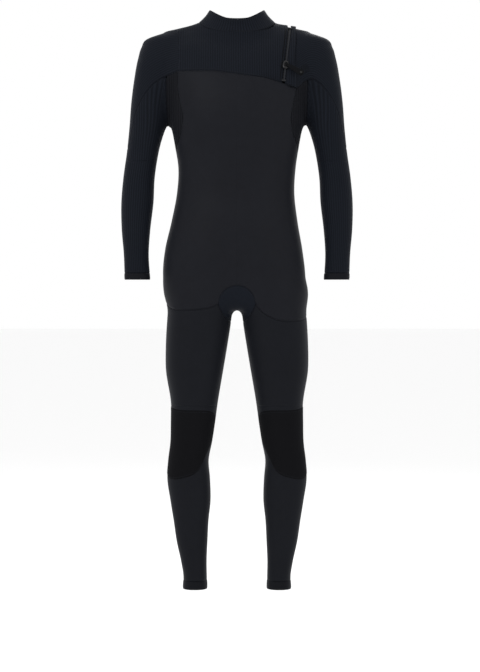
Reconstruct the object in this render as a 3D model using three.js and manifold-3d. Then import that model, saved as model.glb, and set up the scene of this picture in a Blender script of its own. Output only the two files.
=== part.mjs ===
// Full-length wetsuit with long sleeves and a curved shoulder zip, worn or hung upright.
// Millimetres. +Z is up, the chest faces -Y, +X is the wearer's left. The origin is the middle of
// the neck opening. Heights in this file are counted from the ankle hems and shifted at the end.
import * as THREE from 'three';
import { mergeVertices } from 'three/addons/utils/BufferGeometryUtils.js';
import Module from 'manifold-3d';

const wasm = await Module();
wasm.setup();

// Driving dimensions.
const NECK_HEIGHT = 1400; // neck opening above the ankle hems
const TORSO_WALL = 4; // neoprene of the body panels
const LIMB_WALL = 3; // neoprene of the sleeves and legs
const SEAM_GAP = 0.4; // clear line between two sewn panels
const TORSO_SIDES = 28; // facets round the torso
const LIMB_SIDES = 16; // facets round a sleeve or a leg
const ARM_END = 758; // height of the wrist hem
const CUFF_LENGTH = 16; // turned hem at each wrist
const ANKLE_CUFF_LENGTH = 20; // turned hem at each ankle
const LINING_WALL = 2; // inner neck seal and the underlap behind the zip
const OVERLAY_WALL = 1.8; // edges and patches bonded on the outside
const REACH = 400; // half size of the solids that cut the panels

// Heights of the lines where one body part hinges on the next.
const ELBOW_HEIGHT = 1010;
const KNEE_HEIGHT = 360;
const SLEEVE_TOP = 1196; // flexing shoulder cloth ends here
const ELBOW_HALF = 62; // flexing cloth above and below the elbow
const KNEE_HALF = 90; // flexing cloth above and below the knee
const HIP_TOP = 872; // flexing hip cloth starts here
const HIP_BOTTOM = 664; // and ends here

// Seam lines of the front, x and height.
const CHEST_SEAM = [[-185, 1262], [-140, 1264], [-54, 1262], [7, 1253], [62, 1245], [142, 1226]];
const SIDE_SEAM = [[142, 1300], [142, 1226], [130, 1151], [146, 1085], [172, 1040]];
const SHOULDER_SEAM_X = 144;
const SLEEVE_SEAM = [[SHOULDER_SEAM_X, 1272], [176, 1252], [206, 1234], [232, 1200], [249, 1163],
  [260, 1107], [278, ELBOW_HEIGHT + ELBOW_HALF]];
const COLLAR_REACH = 100; // the collar seam ends this far to each side
const ARM_SPLIT_X = 175; // the sleeves part from the body here
const LEG_REACH = 190; // hips and legs are cut this far to each side
const SIDE_PLANE_Y = 5; // side and inside-leg seams, and the shoulder seam
const GUSSET = { radius: 45, height: 699, depth: 40 };
const COLLAR_SEAM = [[-200, 1281], [-60, 1358], [0, 1390], [70, 1400], [200, 1404]]; // y and height

// Zip. It lies on an arc about an axis across the chest, in a plane that leans outwards.
const ZIP = {
  x: 121,
  lean: THREE.MathUtils.degToRad(7),
  pivotHeight: 1305,
  centreY: 109,
  centreHeight: 1211,
  radius: 205,
  start: THREE.MathUtils.degToRad(6.5),
  end: THREE.MathUtils.degToRad(53.5),
  rest: THREE.MathUtils.degToRad(18.5),
  tapeWidth: 13,
  tapeWall: 1.2,
  toothWidth: 5,
  toothHeight: 1.6,
  toothPitch: THREE.MathUtils.degToRad(1.2),
  gap: 0.3,
  endMargin: 0.0015,
};
const SLIDER = { length: 20, height: 4, clearance: 0.5 };
const PULL = { neck: 9, width: 12, tip: 17, length: 50, wall: 2.4, drop: THREE.MathUtils.degToRad(25) };
const PIN = { radius: 1.4, clearance: 0.4, eyeWidth: 7, eyeWall: 1.2, ear: 1.6, seat: 0.3 };
const RIVET = { radius: 1.6, head: 3, along: 43 };
const KEEPER = { radius: 10, x: 166, height: 1272 }; // round patch beside the pull's end
const STOP_LENGTH = 4;

// Cross-sections. Each row is height, middle x, middle y, half width, front depth, back depth.
const SQUARENESS = 2.35;
const TORSO = [
  [684, 0, 6, 150, 80, 96],
  [720, 0, 4, 172, 96, 116],
  [770, 0, 2, 173, 104, 124],
  [830, 0, 0, 165, 106, 116],
  [900, 0, 0, 150, 105, 97],
  [975, 0, 0, 141, 102, 88],
  [1090, 0, 0, 153, 116, 102],
  [1210, 0, 0, 171, 122, 116],
  [1276, 0, 0, 180, 104, 112],
  [1330, 0, 0, 186, 70, 98],
  [1352, 0, 4, 172, 54, 82],
  [1380, 0, 10, 128, 38, 54],
  [1392, 0, 10, 104, 34, 46],
];
const NECK = [
  [1290, 0, 4, 92, 50, 60],
  [1362, 0, 4, 94, 62, 66],
  [1384, 0, 4, 88, 65, 64],
  [1400, 0, 3, 77, 65, 60],
  [1414, 0, 2, 68, 64, 58],
];
const NECK_TILT = { front: 22, back: 7 }; // how far the neck rings drop in front and rise behind
const ARM = [
  [1364, 160, 8, 20, 24, 26],
  [1350, 178, 8, 41, 40, 42],
  [1328, 189, 8, 46, 52, 54],
  [1299, 197, 8, 47, 60, 58],
  [1196, 214, 8, 46, 56, 56],
  [1130, 222, 8, 43, 50, 52],
  [1010, 241, 6, 38.5, 44, 44],
  [948, 245, 2, 39.5, 43, 42],
  [880, 248, -6, 35, 38, 38],
  [ARM_END, 244, -20, 31, 29, 29],
];
const LEG = [
  [748, 88, 6, 84, 92, 100],
  [670, 92, 5, 79, 88, 97],
  [600, 100, 4, 76, 86, 90],
  [480, 105, 0, 60, 70, 70],
  [450, 105, 0, 56.5, 66, 64],
  [360, 113, 0, 51, 60, 56],
  [270, 118, 6, 52.5, 50, 64],
  [165, 113, 8, 43, 42, 52],
  [65, 106, 4, 31.5, 37, 36],
  [0, 103, 2, 30, 40, 37],
];

// One ring of a section: a squared oval whose front and back depths differ.
function ring(row, sides, inset, tilt) {
  const [height, cx, cy, half, front, back] = row;
  const points = [];
  for (let i = 0; i < sides; i += 1) {
    const angle = (2 * Math.PI * i) / sides;
    const c = Math.cos(angle);
    const s = Math.sin(angle);
    const depth = s < 0 ? front : back;
    const x = Math.sign(c) * Math.abs(c) ** (2 / SQUARENESS);
    const y = Math.sign(s) * Math.abs(s) ** (2 / SQUARENESS);
    const rise = y < 0 ? y * tilt.front : y * tilt.back;
    points.push([cx + x * (half - inset), cy + y * (depth - inset), height + rise]);
  }
  return points;
}

// Closed tube through rings of equal length, capped by fans.
function loft(rings) {
  const sides = rings[0].length;
  const vertices = rings.flat(2);
  const faces = [];
  for (let k = 0; k + 1 < rings.length; k += 1) {
    for (let i = 0; i < sides; i += 1) {
      const a = k * sides + i;
      const b = k * sides + ((i + 1) % sides);
      faces.push(a, b, b + sides, a, b + sides, a + sides);
    }
  }
  for (const [k, flip] of [[0, true], [rings.length - 1, false]]) {
    const middle = new THREE.Vector3();
    rings[k].forEach((p) => middle.add(new THREE.Vector3(...p)));
    middle.divideScalar(sides);
    const centre = vertices.length / 3;
    vertices.push(middle.x, middle.y, middle.z);
    for (let i = 0; i < sides; i += 1) {
      const a = k * sides + i;
      const b = k * sides + ((i + 1) % sides);
      faces.push(centre, flip ? b : a, flip ? a : b);
    }
  }
  return solidOf(vertices, faces);
}

function solidOf(vertices, faces) {
  return new wasm.Manifold(new wasm.Mesh({
    numProp: 3,
    vertProperties: new Float32Array(vertices),
    triVerts: new Uint32Array(faces),
  }));
}

// A three.js geometry as a solid.
function solidFrom(geometry) {
  const bare = geometry.clone();
  bare.deleteAttribute('normal');
  bare.deleteAttribute('uv');
  const merged = mergeVertices(bare, 1e-4);
  return solidOf(merged.attributes.position.array, merged.index.array);
}

function geometryFrom(solid) {
  const mesh = solid.getMesh();
  const geometry = new THREE.BufferGeometry();
  geometry.setAttribute('position', new THREE.BufferAttribute(mesh.vertProperties, mesh.numProp));
  geometry.setIndex(new THREE.BufferAttribute(mesh.triVerts, 1));
  geometry.computeVertexNormals();
  return geometry;
}

const FLAT = { front: 0, back: 0 };

// Rings of a table, from the bottom up. The end rings of an inner tube run on past the hems.
function rings(table, sides, inset, tilt, overrun) {
  const rows = table.map((row) => [...row]).sort((a, b) => a[0] - b[0]);
  if (overrun.bottom) {
    rows.unshift([rows[0][0] - overrun.bottom, ...rows[0].slice(1)]);
  }
  if (overrun.top) {
    const last = rows[rows.length - 1];
    rows.push([last[0] + overrun.top, ...last.slice(1)]);
  }
  return rows.map((row) => ring(row, sides, inset, tilt));
}

function mirrored(solid) {
  return solid.mirror([1, 0, 0]);
}

function bothSides(solid) {
  return solid.add(mirrored(solid));
}

// The suit's form, drawn in by an inset or grown by a negative one. An open form runs on past
// the neck, the wrists and the ankles, so that taking it away leaves those ends open.
function bodyForm(inset, open) {
  const limb = open ? { bottom: 30 } : {};
  const torsoInset = open ? inset + TORSO_WALL - LIMB_WALL : inset;
  const torso = open ? TORSO.slice(0, -1) : TORSO;
  const arm = open ? ARM.slice(1) : ARM;
  return loft(rings(torso, TORSO_SIDES, torsoInset, FLAT, {}))
    .add(loft(rings(NECK, TORSO_SIDES, inset, NECK_TILT, open ? { top: 30 } : {})))
    .add(bothSides(loft(rings(arm, LIMB_SIDES, inset, FLAT, limb))))
    .add(bothSides(loft(rings(LEG, LIMB_SIDES, inset, FLAT, limb))));
}

const outerBody = bodyForm(0, false);
const innerBody = bodyForm(LIMB_WALL, true);
const shell = outerBody.subtract(innerBody);
const lining = bodyForm(LIMB_WALL + SEAM_GAP, true)
  .subtract(bodyForm(LIMB_WALL + SEAM_GAP + LINING_WALL, true));
const overlay = bodyForm(-SEAM_GAP - OVERLAY_WALL, false).subtract(bodyForm(-SEAM_GAP, false));

// A prism whose outline is drawn in the front view and which runs from y0 to y1.
function prismY(outline, y0, y1) {
  const shape = new THREE.Shape(outline.map(([x, z]) => new THREE.Vector2(x, z)));
  const geometry = new THREE.ExtrudeGeometry(shape, { depth: y1 - y0, bevelEnabled: false });
  geometry.rotateX(Math.PI / 2);
  geometry.translate(0, y1, 0);
  return solidFrom(geometry);
}

// A prism whose outline is drawn in the side view, as y and height, and runs from x0 to x1.
function prismX(outline, x0, x1) {
  const shape = new THREE.Shape(outline.map(([y, z]) => new THREE.Vector2(y, z)));
  const geometry = new THREE.ExtrudeGeometry(shape, { depth: x1 - x0, bevelEnabled: false });
  geometry.rotateX(Math.PI / 2);
  geometry.rotateZ(Math.PI / 2);
  geometry.translate(x0, 0, 0);
  return solidFrom(geometry);
}

function slab(low, high) {
  const geometry = new THREE.BoxGeometry(2 * REACH, 2 * REACH, high - low);
  geometry.translate(0, 0, (low + high) / 2);
  return solidFrom(geometry);
}

function block(x0, x1, y0, y1, z0, z1) {
  const geometry = new THREE.BoxGeometry(x1 - x0, y1 - y0, z1 - z0);
  geometry.translate((x0 + x1) / 2, (y0 + y1) / 2, (z0 + z1) / 2);
  return solidFrom(geometry);
}

// A thin band that follows a line, used to open the seam along it.
function ribbon(line) {
  const points = line.map(([a, b]) => new THREE.Vector2(a, b));
  const offsets = points.map((p, i) => {
    const before = points[Math.max(i - 1, 0)];
    const after = points[Math.min(i + 1, points.length - 1)];
    const along = after.clone().sub(before).normalize();
    return new THREE.Vector2(-along.y, along.x).multiplyScalar(SEAM_GAP / 2);
  });
  const left = points.map((p, i) => p.clone().add(offsets[i]));
  const right = points.map((p, i) => p.clone().sub(offsets[i])).reverse();
  return left.concat(right).map((p) => [p.x, p.y]);
}

function flip(line) {
  return line.map(([x, z]) => [-x, z]);
}

function gap(height) {
  return slab(height - SEAM_GAP / 2, height + SEAM_GAP / 2);
}

// Outlines that divide the suit.
const chestUp = [...CHEST_SEAM, [REACH, CHEST_SEAM.at(-1)[1]], [REACH, 1600], [-REACH, 1600],
  [-REACH, CHEST_SEAM[0][1]]];
const aboveChest = prismY(chestUp, -REACH, REACH);
const yokeWidth = block(-SHOULDER_SEAM_X, SHOULDER_SEAM_X, -REACH, REACH, 900, 1600);
const sideOutline = [...SIDE_SEAM, [ARM_SPLIT_X, 1040], [ARM_SPLIT_X, 1300]];
const sideLeft = prismY(sideOutline, -REACH, REACH);
const sideRegion = bothSides(sideLeft);
const armLeft = block(ARM_SPLIT_X, REACH, -REACH, REACH, ARM_END - 10, 1600);
const belowChest = block(-LEG_REACH, LEG_REACH, -REACH, REACH, -100, 900);
const collarUp = prismX([...COLLAR_SEAM, [200, 1600], [-200, 1600]], -COLLAR_REACH, COLLAR_REACH);
const sleeveOutline = [...SLEEVE_SEAM, [REACH, SLEEVE_SEAM.at(-1)[1]], [REACH, 1600],
  [SLEEVE_SEAM[0][0], 1600]];
const sleeveOver = prismY(sleeveOutline, -REACH, REACH);
const front = block(-REACH, REACH, -REACH, SIDE_PLANE_Y, -100, 1600);
const back = block(-REACH, REACH, SIDE_PLANE_Y, REACH, -100, 1600);
const leftHalf = block(0, REACH, -REACH, REACH, -100, 1600);
const gussetDisc = new THREE.CylinderGeometry(GUSSET.radius, GUSSET.radius, REACH, 32);
gussetDisc.translate(0, GUSSET.depth - REACH / 2, GUSSET.height);
const gussetRegion = solidFrom(gussetDisc).intersect(slab(HIP_BOTTOM, 900));

// Thin cuts that open every seam a little, so that panels meet without touching.
function sheetY(line) {
  return prismY(ribbon(line), -REACH, REACH);
}

const seamCuts = [
  sheetY(CHEST_SEAM),
  sheetY(SIDE_SEAM),
  sheetY(flip(SIDE_SEAM)),
  sheetY([[SHOULDER_SEAM_X, 1200], [SHOULDER_SEAM_X, 1500]]),
  sheetY([[-SHOULDER_SEAM_X, 1200], [-SHOULDER_SEAM_X, 1500]]),
  sheetY([[ARM_SPLIT_X, 1000], [ARM_SPLIT_X, 1300]]),
  sheetY([[-ARM_SPLIT_X, 1000], [-ARM_SPLIT_X, 1300]]),
  sheetY(SLEEVE_SEAM),
  sheetY(flip(SLEEVE_SEAM)),
  prismX(ribbon(COLLAR_SEAM), -120, 120),
  block(-LEG_REACH, LEG_REACH, SIDE_PLANE_Y - SEAM_GAP / 2, SIDE_PLANE_Y + SEAM_GAP / 2, -100,
    900).subtract(gussetRegion),
  block(-SHOULDER_SEAM_X, SHOULDER_SEAM_X, SIDE_PLANE_Y - SEAM_GAP / 2,
    SIDE_PLANE_Y + SEAM_GAP / 2, 1300, 1396).subtract(collarUp),
  ...[HIP_TOP, HIP_BOTTOM, KNEE_HEIGHT + KNEE_HALF, KNEE_HEIGHT - KNEE_HALF, ANKLE_CUFF_LENGTH]
    .map((height) => gap(height).intersect(belowChest)),
];
const armCuts = [
  gap(SLEEVE_TOP),
  gap(ELBOW_HEIGHT + ELBOW_HALF),
  gap(ELBOW_HEIGHT - ELBOW_HALF),
  gap(ARM_END + CUFF_LENGTH),
].map((cut) => bothSides(cut.intersect(armLeft)));
const gussetRim = new THREE.CylinderGeometry(GUSSET.radius + SEAM_GAP, GUSSET.radius + SEAM_GAP,
  REACH, 32);
gussetRim.translate(0, GUSSET.depth + SEAM_GAP - REACH / 2, GUSSET.height);
const gussetCut = solidFrom(gussetRim).intersect(slab(HIP_BOTTOM - 30, 900))
  .subtract(gussetRegion);

// The zip lies in a leaning plane. Everything on it is drawn round its arc and then leaned.
const zipPlace = new THREE.Matrix4().makeTranslation(ZIP.x, 0, ZIP.pivotHeight)
  .multiply(new THREE.Matrix4().makeRotationY(ZIP.lean))
  .multiply(new THREE.Matrix4().makeTranslation(0, 0, -ZIP.pivotHeight));

function arcOutline(r0, r1, a0, a1, steps) {
  const outline = [];
  for (let i = 0; i <= steps; i += 1) {
    const a = a0 + ((a1 - a0) * i) / steps;
    outline.push([ZIP.centreY - r1 * Math.cos(a), ZIP.centreHeight + r1 * Math.sin(a)]);
  }
  for (let i = steps; i >= 0; i -= 1) {
    const a = a0 + ((a1 - a0) * i) / steps;
    outline.push([ZIP.centreY - r0 * Math.cos(a), ZIP.centreHeight + r0 * Math.sin(a)]);
  }
  return outline;
}

function arcStrip(x0, x1, r0, r1, a0, a1, steps) {
  return prismX(arcOutline(r0, r1, a0, a1, steps), x0, x1).transform(zipPlace.elements);
}

const ARC_STEPS = 12;
const tapeOuter = ZIP.radius;
const tapeInner = ZIP.radius - ZIP.tapeWall;
const toothBase = ZIP.radius + ZIP.gap;
const toothTop = toothBase + ZIP.toothHeight;
const halfGap = ZIP.gap / 2;
const channelHalf = ZIP.tapeWidth + halfGap + ZIP.gap;
const zipChannel = arcStrip(-channelHalf, channelHalf, ZIP.radius - 40, ZIP.radius + 40,
  ZIP.start - ZIP.endMargin, ZIP.end + ZIP.endMargin, ARC_STEPS);
const besideZip = arcStrip(0, REACH, ZIP.radius - 90, ZIP.radius + 90, ZIP.start - 0.2,
  ZIP.end + 0.6, ARC_STEPS);
const zipLineCut = arcStrip(-halfGap, halfGap, ZIP.radius - 90, ZIP.radius + 90,
  ZIP.start - 0.2, ZIP.end + 0.6, ARC_STEPS);

// Small solids that are left of a cut are dropped, so that each panel is one piece of cloth.
function largest(solid) {
  const pieces = solid.decompose();
  pieces.sort((a, b) => b.volume() - a.volume());
  return pieces[0];
}

let cutShell = shell;
for (const cut of [...seamCuts, ...armCuts, gussetCut, zipChannel]) {
  cutShell = cutShell.subtract(cut);
}

// The largest piece of cloth inside every region of one list and outside all of another.
function panel(inside, outside = []) {
  const kept = inside.reduce((solid, region) => solid.intersect(region), cutShell);
  return largest(outside.reduce((solid, region) => solid.subtract(region), kept));
}

const group = new THREE.Group();
group.position.z = -NECK_HEIGHT;

function material(color, roughness, metalness = 0) {
  return new THREE.MeshStandardMaterial({ color, roughness, metalness });
}

function addPiece(name, solid, look) {
  const mesh = new THREE.Mesh(geometryFrom(solid), material(...look));
  mesh.name = name;
  group.add(mesh);
  return mesh;
}

const RIBBED = [0x1c2027, 0.8];
const JERSEY = [0x222226, 0.75];
const LEG_JERSEY = [0x1e2027, 0.78];
const PAD = [0x141417, 0.9];
const TRIM = [0x15161a, 0.6];
const SMOOTH_SKIN = [0x101114, 0.5];
const METAL = [0x9a9ca0, 0.3, 1];
const ZIP_PLASTIC = [0x0c0d10, 0.4];

const betweenHipAndChest = slab(HIP_TOP, 1600).subtract(aboveChest);

// Torso.
addPiece('collar', panel([collarUp]), RIBBED);
addPiece('inner_neck_seal', largest(lining.intersect(
  prismX([[-200, 1290], [-60, 1367], [0, 1399], [70, 1409], [200, 1413], [200, 1436],
    [70, 1424], [0, 1409], [-60, 1388], [-200, 1330]], -COLLAR_REACH, COLLAR_REACH))), SMOOTH_SKIN);
const yoke = [aboveChest, yokeWidth];
addPiece('chest_yoke', panel([...yoke, front], [collarUp, zipLineCut, besideZip]), RIBBED);
addPiece('left_shoulder_panel', panel([...yoke, front, besideZip], [collarUp, zipLineCut]),
  RIBBED);
addPiece('back_yoke', panel([...yoke, back], [collarUp]), RIBBED);
const torsoWidth = block(-ARM_SPLIT_X, ARM_SPLIT_X, -REACH, REACH, 0, 1600);
const trunk = [betweenHipAndChest, torsoWidth];
addPiece('front_panel', panel([...trunk, front], [sideRegion]), JERSEY);
addPiece('back_panel', panel([...trunk, back], [sideRegion]), JERSEY);
const hips = slab(HIP_BOTTOM, HIP_TOP).intersect(belowChest);
const legLeft = leftHalf.intersect(belowChest);
addPiece('lower_front_panel', panel([hips, front], [gussetRegion]), JERSEY);
addPiece('seat_panel', panel([hips, back], [gussetRegion]), JERSEY);
addPiece('crotch_gusset', panel([gussetRegion]), RIBBED);

// Pieces that come in pairs.
function addPair(name, solid, look) {
  addPiece(`${name}_left`, solid, look);
  addPiece(`${name}_right`, mirrored(solid), look);
}

const shoulderTop = slab(SLEEVE_TOP, 1600)
  .intersect(armLeft.add(aboveChest.subtract(yokeWidth).intersect(leftHalf)));
const upperArm = slab(ELBOW_HEIGHT + ELBOW_HALF, SLEEVE_TOP).intersect(armLeft);
const elbow = slab(ELBOW_HEIGHT - ELBOW_HALF, ELBOW_HEIGHT + ELBOW_HALF);
const forearm = slab(ARM_END + CUFF_LENGTH, ELBOW_HEIGHT - ELBOW_HALF);
const wrist = slab(ARM_END - 10, ARM_END + CUFF_LENGTH);
const thigh = slab(KNEE_HEIGHT + KNEE_HALF, HIP_BOTTOM).intersect(legLeft);
const knee = slab(KNEE_HEIGHT - KNEE_HALF, KNEE_HEIGHT + KNEE_HALF).intersect(legLeft);
const calf = slab(ANKLE_CUFF_LENGTH, KNEE_HEIGHT - KNEE_HALF).intersect(legLeft);
addPair('side_panel', panel([sideLeft], [aboveChest]), RIBBED);
addPair('shoulder_cap', panel([shoulderTop, sleeveOver]), RIBBED);
addPair('underarm_front', panel([shoulderTop, front], [sleeveOver]), RIBBED);
addPair('underarm_back', panel([shoulderTop, back], [sleeveOver]), RIBBED);
addPair('upper_sleeve_outer', panel([upperArm, sleeveOver]), RIBBED);
addPair('upper_sleeve_under', panel([upperArm], [sleeveOver]), RIBBED);
addPair('elbow_section', panel([elbow, armLeft]), RIBBED);
addPair('forearm_sleeve', panel([forearm, armLeft]), RIBBED);
addPair('wrist_cuff', panel([wrist, armLeft]), TRIM);
addPair('thigh_front', panel([thigh, front]), LEG_JERSEY);
addPair('thigh_back', panel([thigh, back]), LEG_JERSEY);
addPair('knee_pad', panel([knee, front]), PAD);
addPair('knee_back', panel([knee, back]), LEG_JERSEY);
addPair('shin_front', panel([calf, front]), LEG_JERSEY);
addPair('calf_back', panel([calf, back]), LEG_JERSEY);
addPair('ankle_cuff', largest(outerBody.subtract(innerBody)
  .intersect(slab(-10, ANKLE_CUFF_LENGTH - SEAM_GAP / 2)).intersect(leftHalf)), TRIM);

// Zip.
addPiece('zip_tape_inner', arcStrip(-halfGap - ZIP.tapeWidth, -halfGap, tapeInner, tapeOuter,
  ZIP.start, ZIP.end, ARC_STEPS), TRIM);
addPiece('zip_tape_outer', arcStrip(halfGap, halfGap + ZIP.tapeWidth, tapeInner, tapeOuter,
  ZIP.start, ZIP.end, ARC_STEPS), TRIM);

// One row of teeth: a low strip with a taller tooth at every pitch.
function toothRow(x0, x1, a0, a1, phase) {
  const count = Math.floor((a1 - a0) / ZIP.toothPitch - phase);
  const low = toothBase + ZIP.toothHeight / 2;
  const outline = [];
  const put = (r, a) => outline.push([ZIP.centreY - r * Math.cos(a),
    ZIP.centreHeight + r * Math.sin(a)]);
  put(toothBase, a0);
  for (let i = 0; i < count; i += 1) {
    const a = a0 + (i + phase) * ZIP.toothPitch;
    put(low, a);
    put(toothTop, a + 0.15 * ZIP.toothPitch);
    put(toothTop, a + 0.5 * ZIP.toothPitch);
    put(low, a + 0.65 * ZIP.toothPitch);
  }
  put(low, a1);
  for (let i = ARC_STEPS; i > 0; i -= 1) {
    put(toothBase, a0 + ((a1 - a0) * i) / ARC_STEPS);
  }
  return prismX(outline, x0, x1).transform(zipPlace.elements);
}

const stopAngle = STOP_LENGTH / ZIP.radius;
const teethStart = ZIP.start + 2 * stopAngle;
const teethEnd = ZIP.end - 2 * stopAngle;
addPiece('zip_teeth_inner', toothRow(-halfGap - ZIP.toothWidth, -halfGap, teethStart, teethEnd,
  0.1), ZIP_PLASTIC);
addPiece('zip_teeth_outer', toothRow(halfGap, halfGap + ZIP.toothWidth, teethStart, teethEnd,
  0.6), ZIP_PLASTIC);
for (const [name, a] of [['zip_stop_bottom', ZIP.start + stopAngle / 2],
  ['zip_stop_top', ZIP.end - 1.5 * stopAngle]]) {
  addPiece(name, arcStrip(-ZIP.toothWidth, ZIP.toothWidth, toothBase, toothTop + 1, a,
    a + stopAngle, 1), METAL);
}
addPiece('zip_underlap', largest(lining.intersect(arcStrip(-22, 22, ZIP.radius - 60,
  ZIP.radius + 20, ZIP.start, ZIP.end - 0.06, ARC_STEPS)).subtract(arcStrip(-channelHalf,
  channelHalf, tapeInner - ZIP.gap, ZIP.radius + 60, 0, 1.2, ARC_STEPS))), SMOOTH_SKIN);
addPiece('zip_flap_edge', largest(overlay.intersect(arcStrip(-channelHalf - 6, -channelHalf,
  ZIP.radius - 30, ZIP.radius + 30, ZIP.start, ZIP.end - 0.05, ARC_STEPS))), TRIM);
addPiece('zip_piping', largest(overlay.intersect(arcStrip(channelHalf, channelHalf + 5,
  ZIP.radius - 30, ZIP.radius + 30, ZIP.start, ZIP.end - 0.05, ARC_STEPS))), TRIM);

// Slider: a plate over the teeth with a flange down each side and two ears for the pull's pin.
const sliderHalf = SLIDER.length / ZIP.radius / 2;
const sliderBase = toothTop + SLIDER.clearance;
const sliderTop = sliderBase + SLIDER.height;
const flangeInner = ZIP.toothWidth + halfGap + SLIDER.clearance;
function sliderStrip(x0, x1, r0, r1) {
  return arcStrip(x0, x1, r0, r1, ZIP.rest - sliderHalf, ZIP.rest + sliderHalf, 4);
}

// The pull's frame: X runs along the tab, Y along its pin, Z straight out from the chest.
const eyeRadius = PIN.radius + PIN.clearance + PIN.eyeWall;
const pinRadius = sliderTop + eyeRadius;
const radial = new THREE.Vector3(0, -Math.cos(ZIP.rest), Math.sin(ZIP.rest));
const tangent = new THREE.Vector3(0, Math.sin(ZIP.rest), Math.cos(ZIP.rest));
const across = new THREE.Vector3(1, 0, 0);
const alongPull = across.clone().multiplyScalar(Math.cos(PULL.drop))
  .addScaledVector(tangent, -Math.sin(PULL.drop));
const pinAxis = radial.clone().cross(alongPull);
const pinCentre = new THREE.Vector3(0, ZIP.centreY, ZIP.centreHeight)
  .addScaledVector(radial, pinRadius);
const pullPlace = zipPlace.clone().multiply(new THREE.Matrix4()
  .makeBasis(alongPull, pinAxis, radial).setPosition(pinCentre));

function inPullFrame(geometry) {
  return solidFrom(geometry).transform(pullPlace.elements);
}

function box(x0, x1, y0, y1, z0, z1) {
  const geometry = new THREE.BoxGeometry(x1 - x0, y1 - y0, z1 - z0);
  geometry.translate((x0 + x1) / 2, (y0 + y1) / 2, (z0 + z1) / 2);
  return geometry;
}

const earOuter = PIN.eyeWidth / 2 + ZIP.gap + PIN.ear;
const earInner = PIN.eyeWidth / 2 + ZIP.gap;
let slider = sliderStrip(-flangeInner - 1.5, flangeInner + 1.5, sliderBase, sliderTop)
  .add(sliderStrip(flangeInner, flangeInner + 1.5, tapeOuter + SLIDER.clearance, sliderTop))
  .add(sliderStrip(-flangeInner - 1.5, -flangeInner, tapeOuter + SLIDER.clearance, sliderTop));
for (const side of [-1, 1]) {
  const ear = box(-PIN.ear, PIN.ear, Math.min(side * earInner, side * earOuter),
    Math.max(side * earInner, side * earOuter), -eyeRadius - 1, PIN.radius + 1);
  slider = slider.add(inPullFrame(ear));
}
addPiece('zip_slider', slider, METAL);
addPiece('pull_pin', inPullFrame(new THREE.CylinderGeometry(PIN.radius, PIN.radius,
  2 * earInner - 2 * PIN.seat, 12)), METAL);

// Pull: an eye round the pin, then a tab that widens towards its end.
const tabShape = new THREE.Shape();
tabShape.moveTo(0, -PIN.eyeWidth / 2);
tabShape.lineTo(PULL.neck, -PIN.eyeWidth / 2);
tabShape.lineTo(PULL.neck + 6, -PULL.width / 2);
tabShape.lineTo(PULL.length, -PULL.tip / 2);
tabShape.lineTo(PULL.length, PULL.tip / 2);
tabShape.lineTo(PULL.neck + 6, PULL.width / 2);
tabShape.lineTo(PULL.neck, PIN.eyeWidth / 2);
tabShape.lineTo(0, PIN.eyeWidth / 2);
const tab = new THREE.ExtrudeGeometry(tabShape, { depth: PULL.wall, bevelEnabled: false });
tab.translate(0, 0, -PULL.wall / 2);
const bore = new THREE.CylinderGeometry(PIN.radius + PIN.clearance, PIN.radius + PIN.clearance,
  2 * PIN.eyeWidth, 12);
const rivetHole = new THREE.CylinderGeometry(RIVET.radius + ZIP.gap, RIVET.radius + ZIP.gap,
  3 * PULL.wall, 16).rotateX(Math.PI / 2);
rivetHole.translate(RIVET.along, 0, 0);
const pull = inPullFrame(new THREE.CylinderGeometry(eyeRadius, eyeRadius, PIN.eyeWidth, 16))
  .add(inPullFrame(tab)).subtract(inPullFrame(bore)).subtract(inPullFrame(rivetHole));
addPiece('zip_pull', pull, TRIM);
const rivetHead = PULL.wall / 2 + ZIP.gap;
const rivetProfile = [[0, -rivetHead - 1], [RIVET.head, -rivetHead - 1], [RIVET.head, -rivetHead],
  [RIVET.radius, -rivetHead], [RIVET.radius, rivetHead], [RIVET.head, rivetHead],
  [RIVET.head, rivetHead + 1], [0, rivetHead + 1]];
const rivet = new THREE.LatheGeometry(rivetProfile.map(([r, z]) => new THREE.Vector2(r, z)), 16);
rivet.rotateX(Math.PI / 2);
rivet.translate(RIVET.along, 0, 0);
addPiece('pull_rivet', inPullFrame(rivet), METAL);

// Round patch on the shoulder that the end of the pull tucks against.
const keeper = new THREE.CylinderGeometry(KEEPER.radius, KEEPER.radius, 200, 24);
keeper.translate(KEEPER.x, -100, KEEPER.height);
addPiece('pull_keeper', largest(overlay.intersect(solidFrom(keeper))), TRIM);

export default group;
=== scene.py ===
"""A full wetsuit, dressed over its mechanical frame. Lengths in this file are millimetres, and
heights are counted from the ankle hems, until a mesh is made; the frame is in metres."""
import math

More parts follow.
